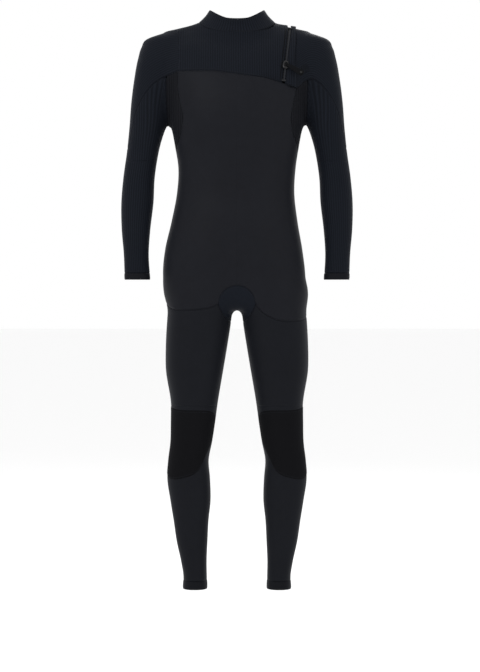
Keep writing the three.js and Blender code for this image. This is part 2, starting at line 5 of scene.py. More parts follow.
import bmesh
import bpy
import numpy as np
from bpy.props import FloatProperty, FloatVectorProperty, PointerProperty
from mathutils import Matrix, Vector


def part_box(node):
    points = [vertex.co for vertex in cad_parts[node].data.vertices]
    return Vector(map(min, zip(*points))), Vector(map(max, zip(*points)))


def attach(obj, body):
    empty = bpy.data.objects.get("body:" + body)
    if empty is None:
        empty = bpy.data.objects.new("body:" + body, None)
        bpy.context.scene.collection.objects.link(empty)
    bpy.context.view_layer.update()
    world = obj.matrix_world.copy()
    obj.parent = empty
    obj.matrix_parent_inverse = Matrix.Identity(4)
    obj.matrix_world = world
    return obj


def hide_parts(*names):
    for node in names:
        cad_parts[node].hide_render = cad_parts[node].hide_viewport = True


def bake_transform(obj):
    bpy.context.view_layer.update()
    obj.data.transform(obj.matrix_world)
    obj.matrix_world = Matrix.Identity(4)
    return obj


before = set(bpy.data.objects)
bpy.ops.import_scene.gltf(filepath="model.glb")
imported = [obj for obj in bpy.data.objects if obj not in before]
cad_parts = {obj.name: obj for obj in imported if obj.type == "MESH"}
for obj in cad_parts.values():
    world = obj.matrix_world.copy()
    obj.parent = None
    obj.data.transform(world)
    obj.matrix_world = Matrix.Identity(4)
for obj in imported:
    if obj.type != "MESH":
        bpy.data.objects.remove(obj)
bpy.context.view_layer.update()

bl_info = {
    "name": "Full wetsuit",
    "version": (1, 0, 0),
    "blender": (4, 5, 0),
    "location": "3D view > Sidebar > Wetsuit",
    "description": "Sews a full-length wetsuit round its frame",
    "category": "Object",
}

MM = 0.001
NECK_HEIGHT = -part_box("ankle_cuff_left")[0].z / MM  # neck opening above the ankle hems
SIDES = ((1, "left"), (-1, "right"))

# Sections: height, middle x, middle y, half width, front depth, back depth.
TORSO = np.array([
    [684, 0, 6, 150, 80, 96],
    [720, -4, 4, 172, 96, 116],
    [770, -7, 2, 175, 104, 124],
    [830, -8, 0, 169, 106, 116],
    [900, -6, 0, 155, 105, 97],
    [975, -3, 0, 144, 102, 88],
    [1030, 0, 0, 144, 106, 92],
    [1090, 0, 0, 153, 116, 102],
    [1150, 0, 0, 164, 124, 112],
    [1210, 0, 0, 171, 122, 116],
    [1276, 0, 0, 180, 104, 112],
    [1330, 0, 0, 186, 70, 98],
    [1352, 0, 4, 172, 54, 82],
    [1380, 0, 10, 128, 38, 54],
    [1392, 0, 10, 104, 34, 46],
], float)
NECK = np.array([
    [1290, 0, 4, 92, 50, 60],
    [1362, 0, 4, 94, 62, 66],
    [1384, 0, 4, 88, 65, 64],
    [1400, 0, 3, 77, 65, 60],
    [1414, 0, 2, 68, 64, 58],
], float)
ARM = np.array([
    [758, 244, -20, 31, 29, 29],
    [820, 247, -14, 30.5, 32, 32],
    [880, 248, -6, 35, 38, 38],
    [948, 245, 2, 39.5, 43, 42],
    [1010, 241, 6, 38.5, 44, 44],
    [1072, 232, 8, 39, 45, 47],
    [1130, 222, 8, 43, 50, 52],
    [1196, 214, 8, 46, 56, 56],
    [1250, 205, 8, 48, 60, 58],
    [1299, 197, 8, 47, 60, 58],
    [1328, 189, 8, 46, 52, 54],
    [1350, 178, 8, 41, 40, 42],
    [1364, 160, 8, 20, 24, 26],
], float)
LEG = np.array([
    [0, 103, 2, 30, 40, 37],
    [30, 103, 3, 29, 38, 36],
    [65, 106, 4, 31.5, 37, 36],
    [115, 110.5, 6, 38, 40, 42],
    [165, 113, 8, 43, 42, 52],
    [215, 114.5, 8, 49.5, 46, 62],
    [270, 119, 6, 52.5, 50, 64],
    [315, 119, 2, 49.5, 54, 58],
    [360, 112, 0, 51, 60, 56],
    [405, 108, 0, 54, 62, 58],
    [450, 105, 0, 57, 66, 64],
    [540, 104, 2, 71, 80, 82],
    [600, 99, 4, 76, 86, 90],
    [670, 92, 5, 79, 88, 97],
    [735, 88, 5, 77, 85, 93],
    [800, 82, 4, 46, 58, 62],
], float)
SQUARENESS = 2.35  # power of the squared ovals
NECK_TILT = (22, 7)  # how far the neck's sections drop in front and behind
NECK_FRONT, NECK_BACK = 64, 60  # the depths at which they do
# How far each soft join between the limbs reaches.
CAP_JOIN, END_JOIN, NECK_JOIN, ARM_JOIN, LEG_JOIN, HIP_JOIN = 18, 30, 18, 26, 10, 20

# Seams of the front, x and height.
CHEST_SEAM = np.array([[-185, 1262], [-140, 1264], [-54, 1262], [7, 1253], [62, 1245],
                       [116, 1231], [142, 1222], [176, 1214]], float)
SIDE_SEAM = np.array([[1040, 160], [1062, 152], [1085, 146], [1115, 135], [1151, 130],
                      [1190, 138], [1222, 144], [1300, 144]], float)
SLEEVE_SEAM = np.array([[144, 1266], [176, 1252], [206, 1234], [232, 1200], [249, 1163],
                        [260, 1107], [266, 1063]], float)
YOKE_EDGE = 144
CREASE_X = 172  # where arm and chest meet in the front view
ARMPIT_LOW = (170, 8, 1136)
CAP_TIP_X, CAP_TIP_HEIGHT = 266, 1080  # where the shoulder cap's seam ends
CAP_TIP_FRONT, CAP_TIP_BACK = -14, 26
CAP_SEAM_LOW = 1088
SHOULDER_TOP = (8, 1376)  # y and height of the yoke's outer corners
SIDE_PANEL_LOW = 1071
GUSSET_RADIUS = 45
GUSSET_HEIGHT = 699
GUSSET_INSET, GUSSET_DROP = 29, 44  # of its long edges, in the middle
COLLAR_SEAM = np.array([[-66, 1355], [-45, 1366], [0, 1388], [70, 1398]], float)  # y, height
NECK_OVAL = (93, 63)
NECK_MIDDLE = 4

# Seams across the limbs, as heights.
KNEE_TOP, KNEE_BOTTOM = 450, 270
ELBOW_TOP, ELBOW_BOTTOM = 1048, 940
WRIST_CUFF = 774
ANKLE_CUFF = 20

# Where the cloth passes from one body to the next: x and height of the start and the end.
BENDS = {
    "shoulder": ("torso", "upper_arm", (172, 1146), (231.8, 1104.1)),
    "elbow": ("upper_arm", "forearm", (241, ELBOW_TOP), (241, ELBOW_BOTTOM)),
    "hip": ("torso", "thigh", (45, 664), (138.5, 502)),
    "knee": ("thigh", "calf", (112, KNEE_TOP), (112, KNEE_BOTTOM)),
}

# The zip lies on an arc about an axis inside the chest, and leans in the front view.
ZIP_X, ZIP_PIVOT, ZIP_LEAN = 121, 1305, math.radians(7)
ZIP_CENTRE = (109, 1211)  # y and height of the arc's middle
ZIP_RADIUS = 205
ZIP_REST = math.radians(18.5)  # where the slider rests on the arc
ZIP_TOP_X = ZIP_X + 10
ZIP_SEAM_HEIGHT = 1232  # where the zip meets the chest seam
CHANNEL = 3.4  # from the zip's middle to the cloth on each side
ZIP_FADE = 45  # how far from the zip the cloth follows its arc
ZIP_FADE_ENDS = (math.radians(-4), math.radians(64))
ZIP_FADE_TURN = 0.12
PULL_DROP = math.radians(25)  # how far the pull hangs below straight across
PIN_RADIUS = 214.4


def sections(table, height):
    """Each column of a section table at any height: Catmull-Rom curves through the rows."""
    rows = table[:, 0]
    slope = np.gradient(table[:, 1:], rows, axis=0)
    k = np.clip(np.searchsorted(rows, height) - 1, 0, len(rows) - 2)
    span = rows[k + 1] - rows[k]
    t = np.clip((height - rows[k]) / span, 0, 1)[..., None]
    a, b = table[k, 1:], table[k + 1, 1:]
    ma, mb = slope[k] * span[..., None], slope[k + 1] * span[..., None]
    return ((2 * t**3 - 3 * t**2 + 1) * a + (t**3 - 2 * t**2 + t) * ma
            + (3 * t**2 - 2 * t**3) * b + (t**3 - t**2) * mb)


def limb_field(points, table, tilt=None):
    """Signed distance, roughly, to a limb: the squared-oval radius less one, times its size."""
    x, y, height = points[..., 0], points[..., 1], points[..., 2]
    if tilt is not None:
        height = height - np.where(y < 0, y / NECK_FRONT * tilt[0], y / NECK_BACK * tilt[1])
    row = sections(table, height)
    half = row[..., 2]
    depth = np.where(y < row[..., 1], row[..., 3], row[..., 4])
    rho = (np.abs((x - row[..., 0]) / half) ** SQUARENESS
           + np.abs((y - row[..., 1]) / depth) ** SQUARENESS + 1e-12) ** (1 / SQUARENESS)
    distance = (rho - 1) * np.minimum(half, depth)
    over = height - table[-1, 0]
    return -soft_join(-distance, -over, CAP_JOIN)


def soft_join(a, b, reach):
    """The smaller of two fields, rounded over a reach where they meet."""
    h = np.clip(0.5 + 0.5 * (b - a) / reach, 0, 1)
    return b * (1 - h) + a * h - reach * h * (1 - h)


def closed_below(points, table, tilt=None):
    """A limb's own field, closed underneath: the larger of it and the depth below its lowest
    section, rounded where the two meet."""
    below = table[0, 0] - points[..., 2]
    return -soft_join(-limb_field(points, table, tilt), -below, END_JOIN)


def body_field(points):
    """Signed distance, roughly, to the suit's outside: torso, neck, arms and legs joined softly."""
    folded = points.copy()
    folded[..., 0] = np.abs(folded[..., 0])
    other = points.copy()
    other[..., 0] = -np.abs(other[..., 0])
    field = soft_join(closed_below(points, TORSO), closed_below(points, NECK, NECK_TILT),
                      NECK_JOIN)
    field = soft_join(field, limb_field(folded, ARM), ARM_JOIN)
    legs = soft_join(limb_field(folded, LEG), limb_field(other, LEG), LEG_JOIN)
    return soft_join(field, legs, HIP_JOIN)


def gradient(points, step=0.5):
    """The field's slope, from its differences over a step to each side."""
    slopes = []
    for axis in range(3):
        shift = np.zeros(3)
        shift[axis] = step
        slopes.append((body_field(points + shift) - body_field(points - shift)) / (2 * step))
    return np.stack(slopes, -1)


def onto_body(points, rounds=9):
    """Points moved down the field's slope until they lie on the suit, and the normals there."""
    points = np.array(points, float)
    for _ in range(rounds):
        value = body_field(points)
        slope = gradient(points)
        size = np.maximum((slope**2).sum(-1), 0.05)
        points -= np.clip(value / size, -25, 25)[..., None] * slope * 0.9
    slope = gradient(points)
    return points, slope / np.linalg.norm(slope, axis=-1, keepdims=True)


# Curves on the suit.

def between(a, b, t):
    """Points on the straight line from a to b, at shares t of the way."""
    t = np.asarray(t)[..., None]
    return np.asarray(a, float) * (1 - t) + np.asarray(b, float) * t


def along(line, count):
    """A line of points, resampled to evenly spaced ones."""
    line = np.asarray(line, float)
    steps = np.r_[0, np.cumsum(np.linalg.norm(np.diff(line, axis=0), axis=1))]
    at = np.linspace(0, steps[-1], count)
    return np.stack([np.interp(at, steps, line[:, k]) for k in range(line.shape[1])], -1)


def eased(line, rounds):
    """A line whose points are drawn, round by round, halfway to their neighbours' middle."""
    for _ in range(rounds):
        line[1:-1] = 0.5 * line[1:-1] + 0.25 * (line[:-2] + line[2:])
    return line


def smoothed(line, count, rounds):
    """A resampled line with its corners eased."""
    return eased(along(line, count), rounds)


def front_point(x, height, back=False):
    """The point of the body at a place in the front view, found by stepping in along Y."""
    x, height = np.broadcast_arrays(np.asarray(x, float), np.asarray(height, float))
    sign = 1 if back else -1
    points = np.stack([x, np.full(x.shape, sign * 180.0), height], -1)
    for _ in range(60):
        value = body_field(points)
        points[..., 1] -= sign * np.clip(value * 0.7, -4, 12)
        points[..., 1] = points[..., 1] * (sign * points[..., 1] > -20)
    return points


def oval_point(table, angle, height):
    """A point of a limb's own squared oval, by angle: 0 outward, a quarter turn to the back."""
    row = sections(table, height)
    c, s = np.cos(angle), np.sin(angle)
    depth = np.where(s < 0, row[..., 3], row[..., 4])
    x = row[..., 0] + np.sign(c) * np.abs(c) ** (2 / SQUARENESS) * row[..., 2]
    y = row[..., 1] + np.sign(s) * np.abs(s) ** (2 / SQUARENESS) * depth
    return np.stack([x, y, height + 0 * x], -1)


def oval_angle(table, points):
    """The angle that oval_point would need for each point."""
    row = sections(table, points[..., 2])
    x = (points[..., 0] - row[..., 0]) / row[..., 2]
    depth = np.where(points[..., 1] < row[..., 1], row[..., 3], row[..., 4])
    y = (points[..., 1] - row[..., 1]) / depth
    power = SQUARENESS / 2
    return np.arctan2(np.sign(y) * np.abs(y) ** power, np.sign(x) * np.abs(x) ** power)


# Making meshes.

def mesh_object(name, points, faces, material, uv=None, values=None, smooth=0):
    """A mesh object at the origin from points in millimetres above the ankle hems. Its first
    faces, as many as smooth says, are shaded smooth."""
    placed = (np.asarray(points, float).reshape(-1, 3) - [0, 0, NECK_HEIGHT]) * MM
    mesh = bpy.data.meshes.new(name)
    mesh.from_pydata(placed, [], faces)
    mesh.validate()
    if uv is not None:
        layer = mesh.uv_layers.new(name="UVMap")
        corner = np.zeros(len(mesh.loops), int)
        mesh.loops.foreach_get("vertex_index", corner)
        layer.data.foreach_set("uv", np.asarray(uv, float).reshape(-1, 2)[corner].ravel())
    for key, value in (values or {}).items():
        attribute = mesh.attributes.new(key, "FLOAT", "POINT")
        attribute.data.foreach_set("value", np.asarray(value, np.float32).ravel())
    mesh.polygons.foreach_set("use_smooth", np.arange(len(mesh.polygons)) < smooth)
    mesh.update()
    made = bpy.data.objects.new(name + "_shape" if name in bpy.data.objects else name, mesh)
    bpy.context.scene.collection.objects.link(made)
    mesh.materials.append(material)
    return made


def solid_object(name, points, faces, material, smooth=True):
    """A closed piece from points and faces of any kind, its faces turned outwards."""
    made = mesh_object(name, points, faces, material)
    bm = bmesh.new()
    bm.from_mesh(made.data)
    bmesh.ops.recalc_face_normals(bm, faces=bm.faces)
    bm.to_mesh(made.data)
    bm.free()
    made.data.polygons.foreach_set("use_smooth", np.full(len(made.data.polygons), smooth))
    return made


def grid_faces(rows, columns, start=0, wrap=False):
    """The quads of a grid of points; the last column joins the first where it wraps."""
    i, j = np.meshgrid(np.arange(rows - 1), np.arange(columns - (0 if wrap else 1)),
                       indexing="ij")
    nxt = (j + 1) % columns
    quads = np.stack([i * columns + j, i * columns + nxt, (i + 1) * columns + nxt,
                      (i + 1) * columns + j], -1)
    return quads.reshape(-1, 4) + start


def lengths(points):
    """How far each grid point lies along its row and along its column, in metres."""
    du = np.linalg.norm(np.diff(points, axis=1), axis=-1)
    dv = np.linalg.norm(np.diff(points, axis=0), axis=-1)
    u = np.concatenate([np.zeros((len(points), 1)), np.cumsum(du, 1)], 1)
    v = np.concatenate([np.zeros((1, points.shape[1])), np.cumsum(dv, 0)], 0)
    return u * MM, v * MM


def edge_distance(points, edges):
    """Distance in metres from each grid point to the nearest sewn edge of its panel."""
    u, v = lengths(points)
    away = {"left": u, "right": u[:, -1:] - u, "bottom": v, "top": v[-1:] - v}
    return np.minimum.reduce([np.ones(u.shape), *[away[edge] for edge in edges]])


def panel(name, points, normals, material, edges=(), wall=None, lift=0.0, wrap=False, uv_row=-1):
    """A panel of cloth: the grid outside, the same grid a wall further in, and the rims between.
    Its outside sinks beside each sewn edge, by the seam dip times exp(-(distance / 2.2 mm)^2).
    A tube's texture runs straight along it, spaced as on one of its rows.
    The grid's faces must turn outwards; it is flipped here where they don't."""
    wall = sizes().wall / MM if wall is None else wall
    if wrap:
        points = np.concatenate([points, points[:, :1]], 1)
        normals = np.concatenate([normals, normals[:, :1]], 1)
    middle = tuple(n // 2 for n in points.shape[:2])
    i, j = min(middle[0], points.shape[0] - 2), min(middle[1], points.shape[1] - 2)
    turn = np.cross(points[i, j + 1] - points[i, j], points[i + 1, j] - points[i, j])
    if np.dot(turn, normals[i, j]) < 0:
        points, normals = points[:, ::-1], normals[:, ::-1]
        swap = {"left": "right", "right": "left"}
        edges = [swap.get(edge, edge) for edge in edges]
    near = edge_distance(points, edges)
    sink = sizes().seam_dip / MM * np.exp(-(near / (2.2 * MM)) ** 2)
    outside = points + normals * (lift - sink)[..., None]
    inside = points + normals * (lift - wall)
    rows, columns = points.shape[:2]
    count = rows * columns
    faces = [grid_faces(rows, columns), grid_faces(rows, columns, count)[:, ::-1]]
    ring = np.arange(count).reshape(rows, columns)
    loop = np.r_[ring[0, :], ring[1:, -1], ring[-1, -2::-1], ring[-2:0:-1, 0]]
    after = np.roll(loop, -1)
    faces.append(np.stack([after, loop, loop + count, after + count], -1))
    u, v = lengths(points)
    if wrap:
        u = np.broadcast_to(u[uv_row], u.shape)
    uv = np.stack([u, v], -1)
    made = mesh_object(
        name, np.concatenate([outside.reshape(-1, 3), inside.reshape(-1, 3)]),
        np.concatenate(faces).tolist(), material, np.concatenate([uv.reshape(-1, 2)] * 2),
        {"edge": np.r_[near.ravel(), near.ravel()],
         "inner": np.r_[np.zeros(count), np.ones(count)]},
        2 * (rows - 1) * (columns - 1))
    made["flat_area"] = float(np.sum(
        np.linalg.norm(np.cross(points[1:, :-1] - points[:-1, :-1],
                                points[:-1, 1:] - points[:-1, :-1]), axis=-1)) * MM * MM)
    return made


def rows_between(first, last, count, table):
    """A grid from one line of points to another, carried round a limb's oval: angles and heights
    are mixed in a straight line and the oval gives the rest."""
    t = np.linspace(0, 1, count)[:, None]
    start = np.unwrap(oval_angle(table, first))
    end = np.unwrap(oval_angle(table, last))
    end += 2 * math.pi * np.round((start.mean() - end.mean()) / (2 * math.pi))
    angle = start[None] * (1 - t) + end[None] * t
    height = first[None, :, 2] * (1 - t) + last[None, :, 2] * t
    return oval_point(table, angle, height)


def mirrored(points, side):
    """Points for the wearer's left as they are, or turned over for the right."""
    return points * [side, 1, 1]


def patch(bottom, top, left, right, bulge=(0, 0, 0)):
    """A Coons patch: straight mixtures of opposite edges, added, less the mixture of the corners.
    It is pushed out by a bulge in its middle and drawn onto the body; its edges stay as given."""
    u = np.linspace(0, 1, len(bottom))[None, :, None]
    v = np.linspace(0, 1, len(left))[:, None, None]
    across = left[:, None] * (1 - u) + right[:, None] * u
    upward = bottom[None] * (1 - v) + top[None] * v
    corners = ((1 - v) * (bottom[0] * (1 - u) + bottom[-1] * u)
               + v * (top[0] * (1 - u) + top[-1] * u))
    points = across + upward - corners
    points = points + np.array(bulge, float) * 16 * u * (1 - u) * v * (1 - v)
    points, normals = onto_body(points)
    points[0], points[-1], points[:, 0], points[:, -1] = bottom, top, left, right
    return points, normals


def on_line(points):
    """Points drawn onto the suit, without their normals."""
    return onto_body(points)[0]


def chest_height(x):
    """The chest seam's height at a place across the chest."""
    return np.interp(x, CHEST_SEAM[:, 0], CHEST_SEAM[:, 1])


def chest_line(x0, x1, count, back=False):
    """The chest seam, or the same line across the back, between two places."""
    x = np.linspace(x0, x1, count)
    return on_line(front_point(x, chest_height(x), back))


def yoke_corner(side, back=False):
    """The point where the chest seam meets the yoke's outer edge."""
    return chest_line(side * YOKE_EDGE, side * YOKE_EDGE, 1, back)[0]


def shoulder_corner(side):
    """The point where the yoke's outer edge meets the top of the shoulder."""
    return on_line(np.array([[side * YOKE_EDGE, *SHOULDER_TOP]], float))[0]


def yoke_side(side, back, count):
    """The line at each side where the yoke runs on into the shoulder cap, from the chest seam up
    to the top of the shoulder."""
    low, high = yoke_corner(side, back), shoulder_corner(side)
    t = np.linspace(0, 1, count)
    line = between(low, high, t)
    sign = 1 if back else -1
    line[:, 1] += sign * 34 * np.sin(math.pi * t)
    line[:, 2] += 26 * np.sin(math.pi * t)
    line = on_line(line)
    line[0], line[-1] = low, high
    return along(line, count)


def neck_line(start, end, count):
    """The collar's seam round the neck, from one angle to another: an oval whose height follows
    the seam's own line from front to back."""
    angle = np.linspace(start, end, count)
    y = NECK_MIDDLE + NECK_OVAL[1] * np.sin(angle)
    return on_line(np.stack([NECK_OVAL[0] * np.cos(angle), y,
                             np.interp(y, COLLAR_SEAM[:, 0], COLLAR_SEAM[:, 1])], -1))


def yoke_top(x0, x1, back, count):
    """The yoke's upper edge: along the top of the shoulder, round the neck and out again."""
    neck = neck_line(math.pi, 0 if back else 2 * math.pi, 60)
    t = np.linspace(0, 1, 12)
    line = np.concatenate([on_line(between(shoulder_corner(-1), neck[0], t))[:-1], neck,
                           on_line(between(neck[-1], shoulder_corner(1), t))[1:]])
    line = along(line, 400)
    share = np.linspace(0, 1, 400)
    wanted = np.linspace((x0 / YOKE_EDGE + 1) / 2, (x1 / YOKE_EDGE + 1) / 2, count)
    return np.stack([np.interp(wanted, share, line[:, k]) for k in range(3)], -1)


def zip_local(points):
    """Where points lie beside the zip: across it, how far out from its axis, and round its arc."""
    x = points[..., 0] - ZIP_X
    z = points[..., 2] - ZIP_PIVOT
    across = x * math.cos(ZIP_LEAN) - z * math.sin(ZIP_LEAN)
    up = x * math.sin(ZIP_LEAN) + z * math.cos(ZIP_LEAN) + ZIP_PIVOT - ZIP_CENTRE[1]
    y = points[..., 1] - ZIP_CENTRE[0]
    return across, np.hypot(y, up), np.arctan2(up, -y)


def zip_point(across, radius, angle):
    """The place of a point given beside the zip."""
    across, radius, angle = np.broadcast_arrays(np.asarray(across, float), radius, angle)
    up = ZIP_CENTRE[1] + radius * np.sin(angle) - ZIP_PIVOT
    x = across * math.cos(ZIP_LEAN) + up * math.sin(ZIP_LEAN) + ZIP_X
    z = -across * math.sin(ZIP_LEAN) + up * math.cos(ZIP_LEAN) + ZIP_PIVOT
    return np.stack([x, ZIP_CENTRE[0] - radius * np.cos(angle), z], -1)


def seat_on_zip(points, sink=0.4):
    """Cloth near the zip eased onto the zip's own arc, by exp(-(distance / reach)^2), which
    fades out past both ends of the arc and behind the shoulder."""
    across, radius, angle = zip_local(points)
    fade = np.exp(-(across / ZIP_FADE) ** 2)
    fade = fade * np.clip((angle - ZIP_FADE_ENDS[0]) / ZIP_FADE_TURN, 0, 1)
    fade = fade * np.clip((ZIP_FADE_ENDS[1] - angle) / ZIP_FADE_TURN, 0, 1)
    fade = fade * (points[..., 1] < 20)
    wanted = radius + fade * (ZIP_RADIUS - sink - radius)
    return np.where(fade[..., None] > 1e-3, zip_point(across, wanted, angle), points)


def normals_of(points):
    """Unit normals of a grid from its own two directions, turned outwards by the body's slope."""
    du = np.gradient(points, axis=1)
    dv = np.gradient(points, axis=0)
    normal = np.cross(du, dv)
    normal /= np.maximum(np.linalg.norm(normal, axis=-1, keepdims=True), 1e-9)
    out = gradient(points)
    sign = np.sign((normal * out).sum(-1, keepdims=True))
    return normal * np.where(sign == 0, 1, sign)


# Seams at the shoulder and down the arm.

def sleeve_line(side, back, count):
    """The sleeve's seam from the yoke's edge down over the arm to its outer side."""
    line = SLEEVE_SEAM.copy()
    line[0, 1] = chest_height(side * YOKE_EDGE)
    line = smoothed(line, 40, 6)
    points = front_point(side * line[:, 0], line[:, 1], back)
    points = on_line(points)
    points[0] = yoke_corner(side, back)
    return along(points, count)


def armpit_line(side, count):
    """From the front crease above the armpit, down under it and up to the crease behind."""
    start = crease_point(side, False)
    end = crease_point(side, True)
    t = np.linspace(0, 1, count)
    low = mirrored(np.array(ARMPIT_LOW, float), side)
    line = (start * ((1 - t) ** 2)[:, None] + (2 * low - (start + end) / 2)
            * (2 * t * (1 - t))[:, None] + end * (t**2)[:, None])
    line = on_line(line)
    line[0], line[-1] = start, end
    return along(line, count)


def crease_point(side, back):
    """The point of the sleeve's seam that lies in the crease between arm and chest."""
    line = sleeve_line(side, back, 200)
    return line[np.argmin(np.abs(side * line[:, 0] - CREASE_X))]


def split_line(line, point):
    """A line cut in two at its point nearest to a given one."""
    k = int(np.argmin(np.linalg.norm(line - point, axis=1)))
    return np.concatenate([line[:k], point[None]]), np.concatenate([point[None], line[k + 1:]])


def bend(piece, joint, side):
    """Bakes the piece's transform into its mesh; the joint's bodies and line are looked up but not
    used.
    """
    first, second, start, end = BENDS[joint]
    start, end = [(side * x * MM, 0, (height - NECK_HEIGHT) * MM) for x, height in (start, end)]
    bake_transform(piece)


def fit(piece, node, body="torso"):
    """Hides the solid that a piece stands for and parents the piece to a body's empty."""
    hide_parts(node)
    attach(piece, body)


def cloth(piece, slot, *nodes):
    """Hides the solids that a panel stands for.
    The slot is not used."""
    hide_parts(*nodes)


# Colours and finishes.

class WetsuitColours(bpy.types.PropertyGroup):
    """Colours of the suit's cloths, rubber and metal."""
    ribbed: FloatVectorProperty(
        name="Ribbed neoprene", description="Colour of the yoke, sleeves and collar",
        subtype="COLOR", size=3, default=(0.0044, 0.0056, 0.0086))
    body: FloatVectorProperty(
        name="Body jersey", description="Colour of the trunk's smooth jersey",
        subtype="COLOR", size=3, default=(0.0068, 0.0072, 0.0094))
    leg: FloatVectorProperty(
        name="Leg jersey", description="Colour of the legs' smooth jersey",
        subtype="COLOR", size=3, default=(0.0056, 0.0061, 0.0081))
    knee: FloatVectorProperty(
        name="Knee pads", description="Colour of the knee pads' dense print",
        subtype="COLOR", size=3, default=(0.0034, 0.0034, 0.0042))
    # The pull and the flap's lip take this colour halved, the lip as painted shade; the piping takes
    # it lightened 2.2 times, as painted highlight.
    trim: FloatVectorProperty(
        name="Trim", description="Colour of the hems, tapes and flap edges",
        subtype="COLOR", size=3, default=(0.0046, 0.0050, 0.0066))
    thread: FloatVectorProperty(
        name="Thread", description="Colour of the stitching",
        subtype="COLOR", size=3, default=(0.0100, 0.0112, 0.0145))
    metal: FloatVectorProperty(
        name="Metal", description="Colour of the slider, pin and rivet",
        subtype="COLOR", size=3, default=(0.008, 0.008, 0.009))


class WetsuitSizes(bpy.types.PropertyGroup):
    """Sizes of the cloth and its stitching."""
    wall: FloatProperty(
        name="Neoprene", description="Thickness of the neoprene", default=0.003,
        min=0.001, max=0.006, unit="LENGTH")
    rib_pitch: FloatProperty(
        name="Rib pitch", description="Distance from rib to rib in the ribbed neoprene",
        default=0.0056, min=0.001, max=0.02, unit="LENGTH")
    seam_dip: FloatProperty(
        name="Seam dip", description="How far the cloth sinks beside a sewn edge",
        default=0.0007, min=0, max=0.003, unit="LENGTH")
    stitch_inset: FloatProperty(
        name="Stitch inset", description="Distance of the stitches from the edge",
        default=0.0042, min=0.001, max=0.01, unit="LENGTH")


def colours():
    """The suit's colours, as set in the scene."""
    return bpy.context.scene.wetsuit_colours


def sizes():
    """The cloth's sizes, as set in the scene."""
    return bpy.context.scene.wetsuit_sizes


class Nodes:
    """A node tree that is being built: add() makes a node and wires its inputs."""

    def __init__(self, tree):
        self.tree = tree
        self.across = 0

    def add(self, kind, inputs=None, **settings):
        """A new node with its settings, its inputs wired or set."""
        node = self.tree.nodes.new(kind)
        node.location = (self.across, 0)
        self.across += 180
        for key, value in settings.items():
            setattr(node, key, value)
        for key, value in (inputs or {}).items():
            socket = node.inputs[key]
            if isinstance(value, bpy.types.NodeSocket):
                self.tree.links.new(value, socket)
            else:
                socket.default_value = value
        return node

    def math(self, operation, *values, clamp=False):
        """A sum or function of its values, as one Math node."""
        node = self.add("ShaderNodeMath", dict(enumerate(values)), operation=operation,
                        use_clamp=clamp)
        return node.outputs[0]

    def mix(self, factor, a, b):
        """A colour mixed from a and b."""
        return self.add("ShaderNodeMix", {0: factor, 6: a, 7: b}, data_type="RGBA").outputs[2]


def new_group(name, inputs, outputs):
    """A shader node group with named sockets: (name, socket type, default) each."""
    group = bpy.data.node_groups.new(name, "ShaderNodeTree")
    for key, kind, value in inputs:
        socket = group.interface.new_socket(name=key, in_out="INPUT", socket_type=kind)
        if value is not None:
            socket.default_value = value
    for key, kind in outputs:
        group.interface.new_socket(name=key, in_out="OUTPUT", socket_type=kind)
    nodes = Nodes(group)
    source = nodes.add("NodeGroupInput")
    sink = nodes.add("NodeGroupOutput")
    return group, nodes, source.outputs, sink.inputs


def knit_group():
    """Jersey knit: two crossed waves a stitch wide, plus slow blotches where the pile lies
    differently. Out come a height for the bump, a roughness and a tint mask."""
    group, n, src, out = new_group(
        "Jersey knit",
        [("Pitch", "NodeSocketFloat", 0.0011), ("Roughness", "NodeSocketFloat", 0.62)],
        [("Height", "NodeSocketFloat"), ("Roughness", "NodeSocketFloat"),
         ("Tint", "NodeSocketFloat")])
    place = n.add("ShaderNodeTexCoord").outputs["Object"]
    axes = n.add("ShaderNodeSeparateXYZ", {0: place}).outputs
    turn = n.math("DIVIDE", 2 * math.pi, src["Pitch"])
    wale = n.math("SINE", n.math("MULTIPLY", n.math("ADD", axes["X"], n.math(
        "MULTIPLY", axes["Y"], 0.6)), turn))
    course = n.math("SINE", n.math("MULTIPLY", axes["Z"], turn))
    loops = n.math("MULTIPLY", wale, course)
    fuzz = n.add("ShaderNodeTexNoise", {"Vector": place, "Scale": 900.0, "Detail": 2.0})
    blotch = n.add("ShaderNodeTexNoise", {"Vector": place, "Scale": 9.0, "Detail": 3.0})
    fine = n.add("ShaderNodeTexNoise", {"Vector": place, "Scale": 60.0, "Detail": 4.0})
    height = n.math("ADD", n.math("MULTIPLY", loops, 0.35), fuzz.outputs[0])
    n.tree.links.new(height, out["Height"])
    drift = n.math("MULTIPLY_ADD", blotch.outputs[0], 0.16, -0.08)
    n.tree.links.new(n.math("ADD", src["Roughness"], drift), out["Roughness"])
    tint = n.math("MULTIPLY_ADD", blotch.outputs[0], 0.6,
                  n.math("MULTIPLY", fine.outputs[0], 0.4))
    n.tree.links.new(tint, out["Tint"])
    return group


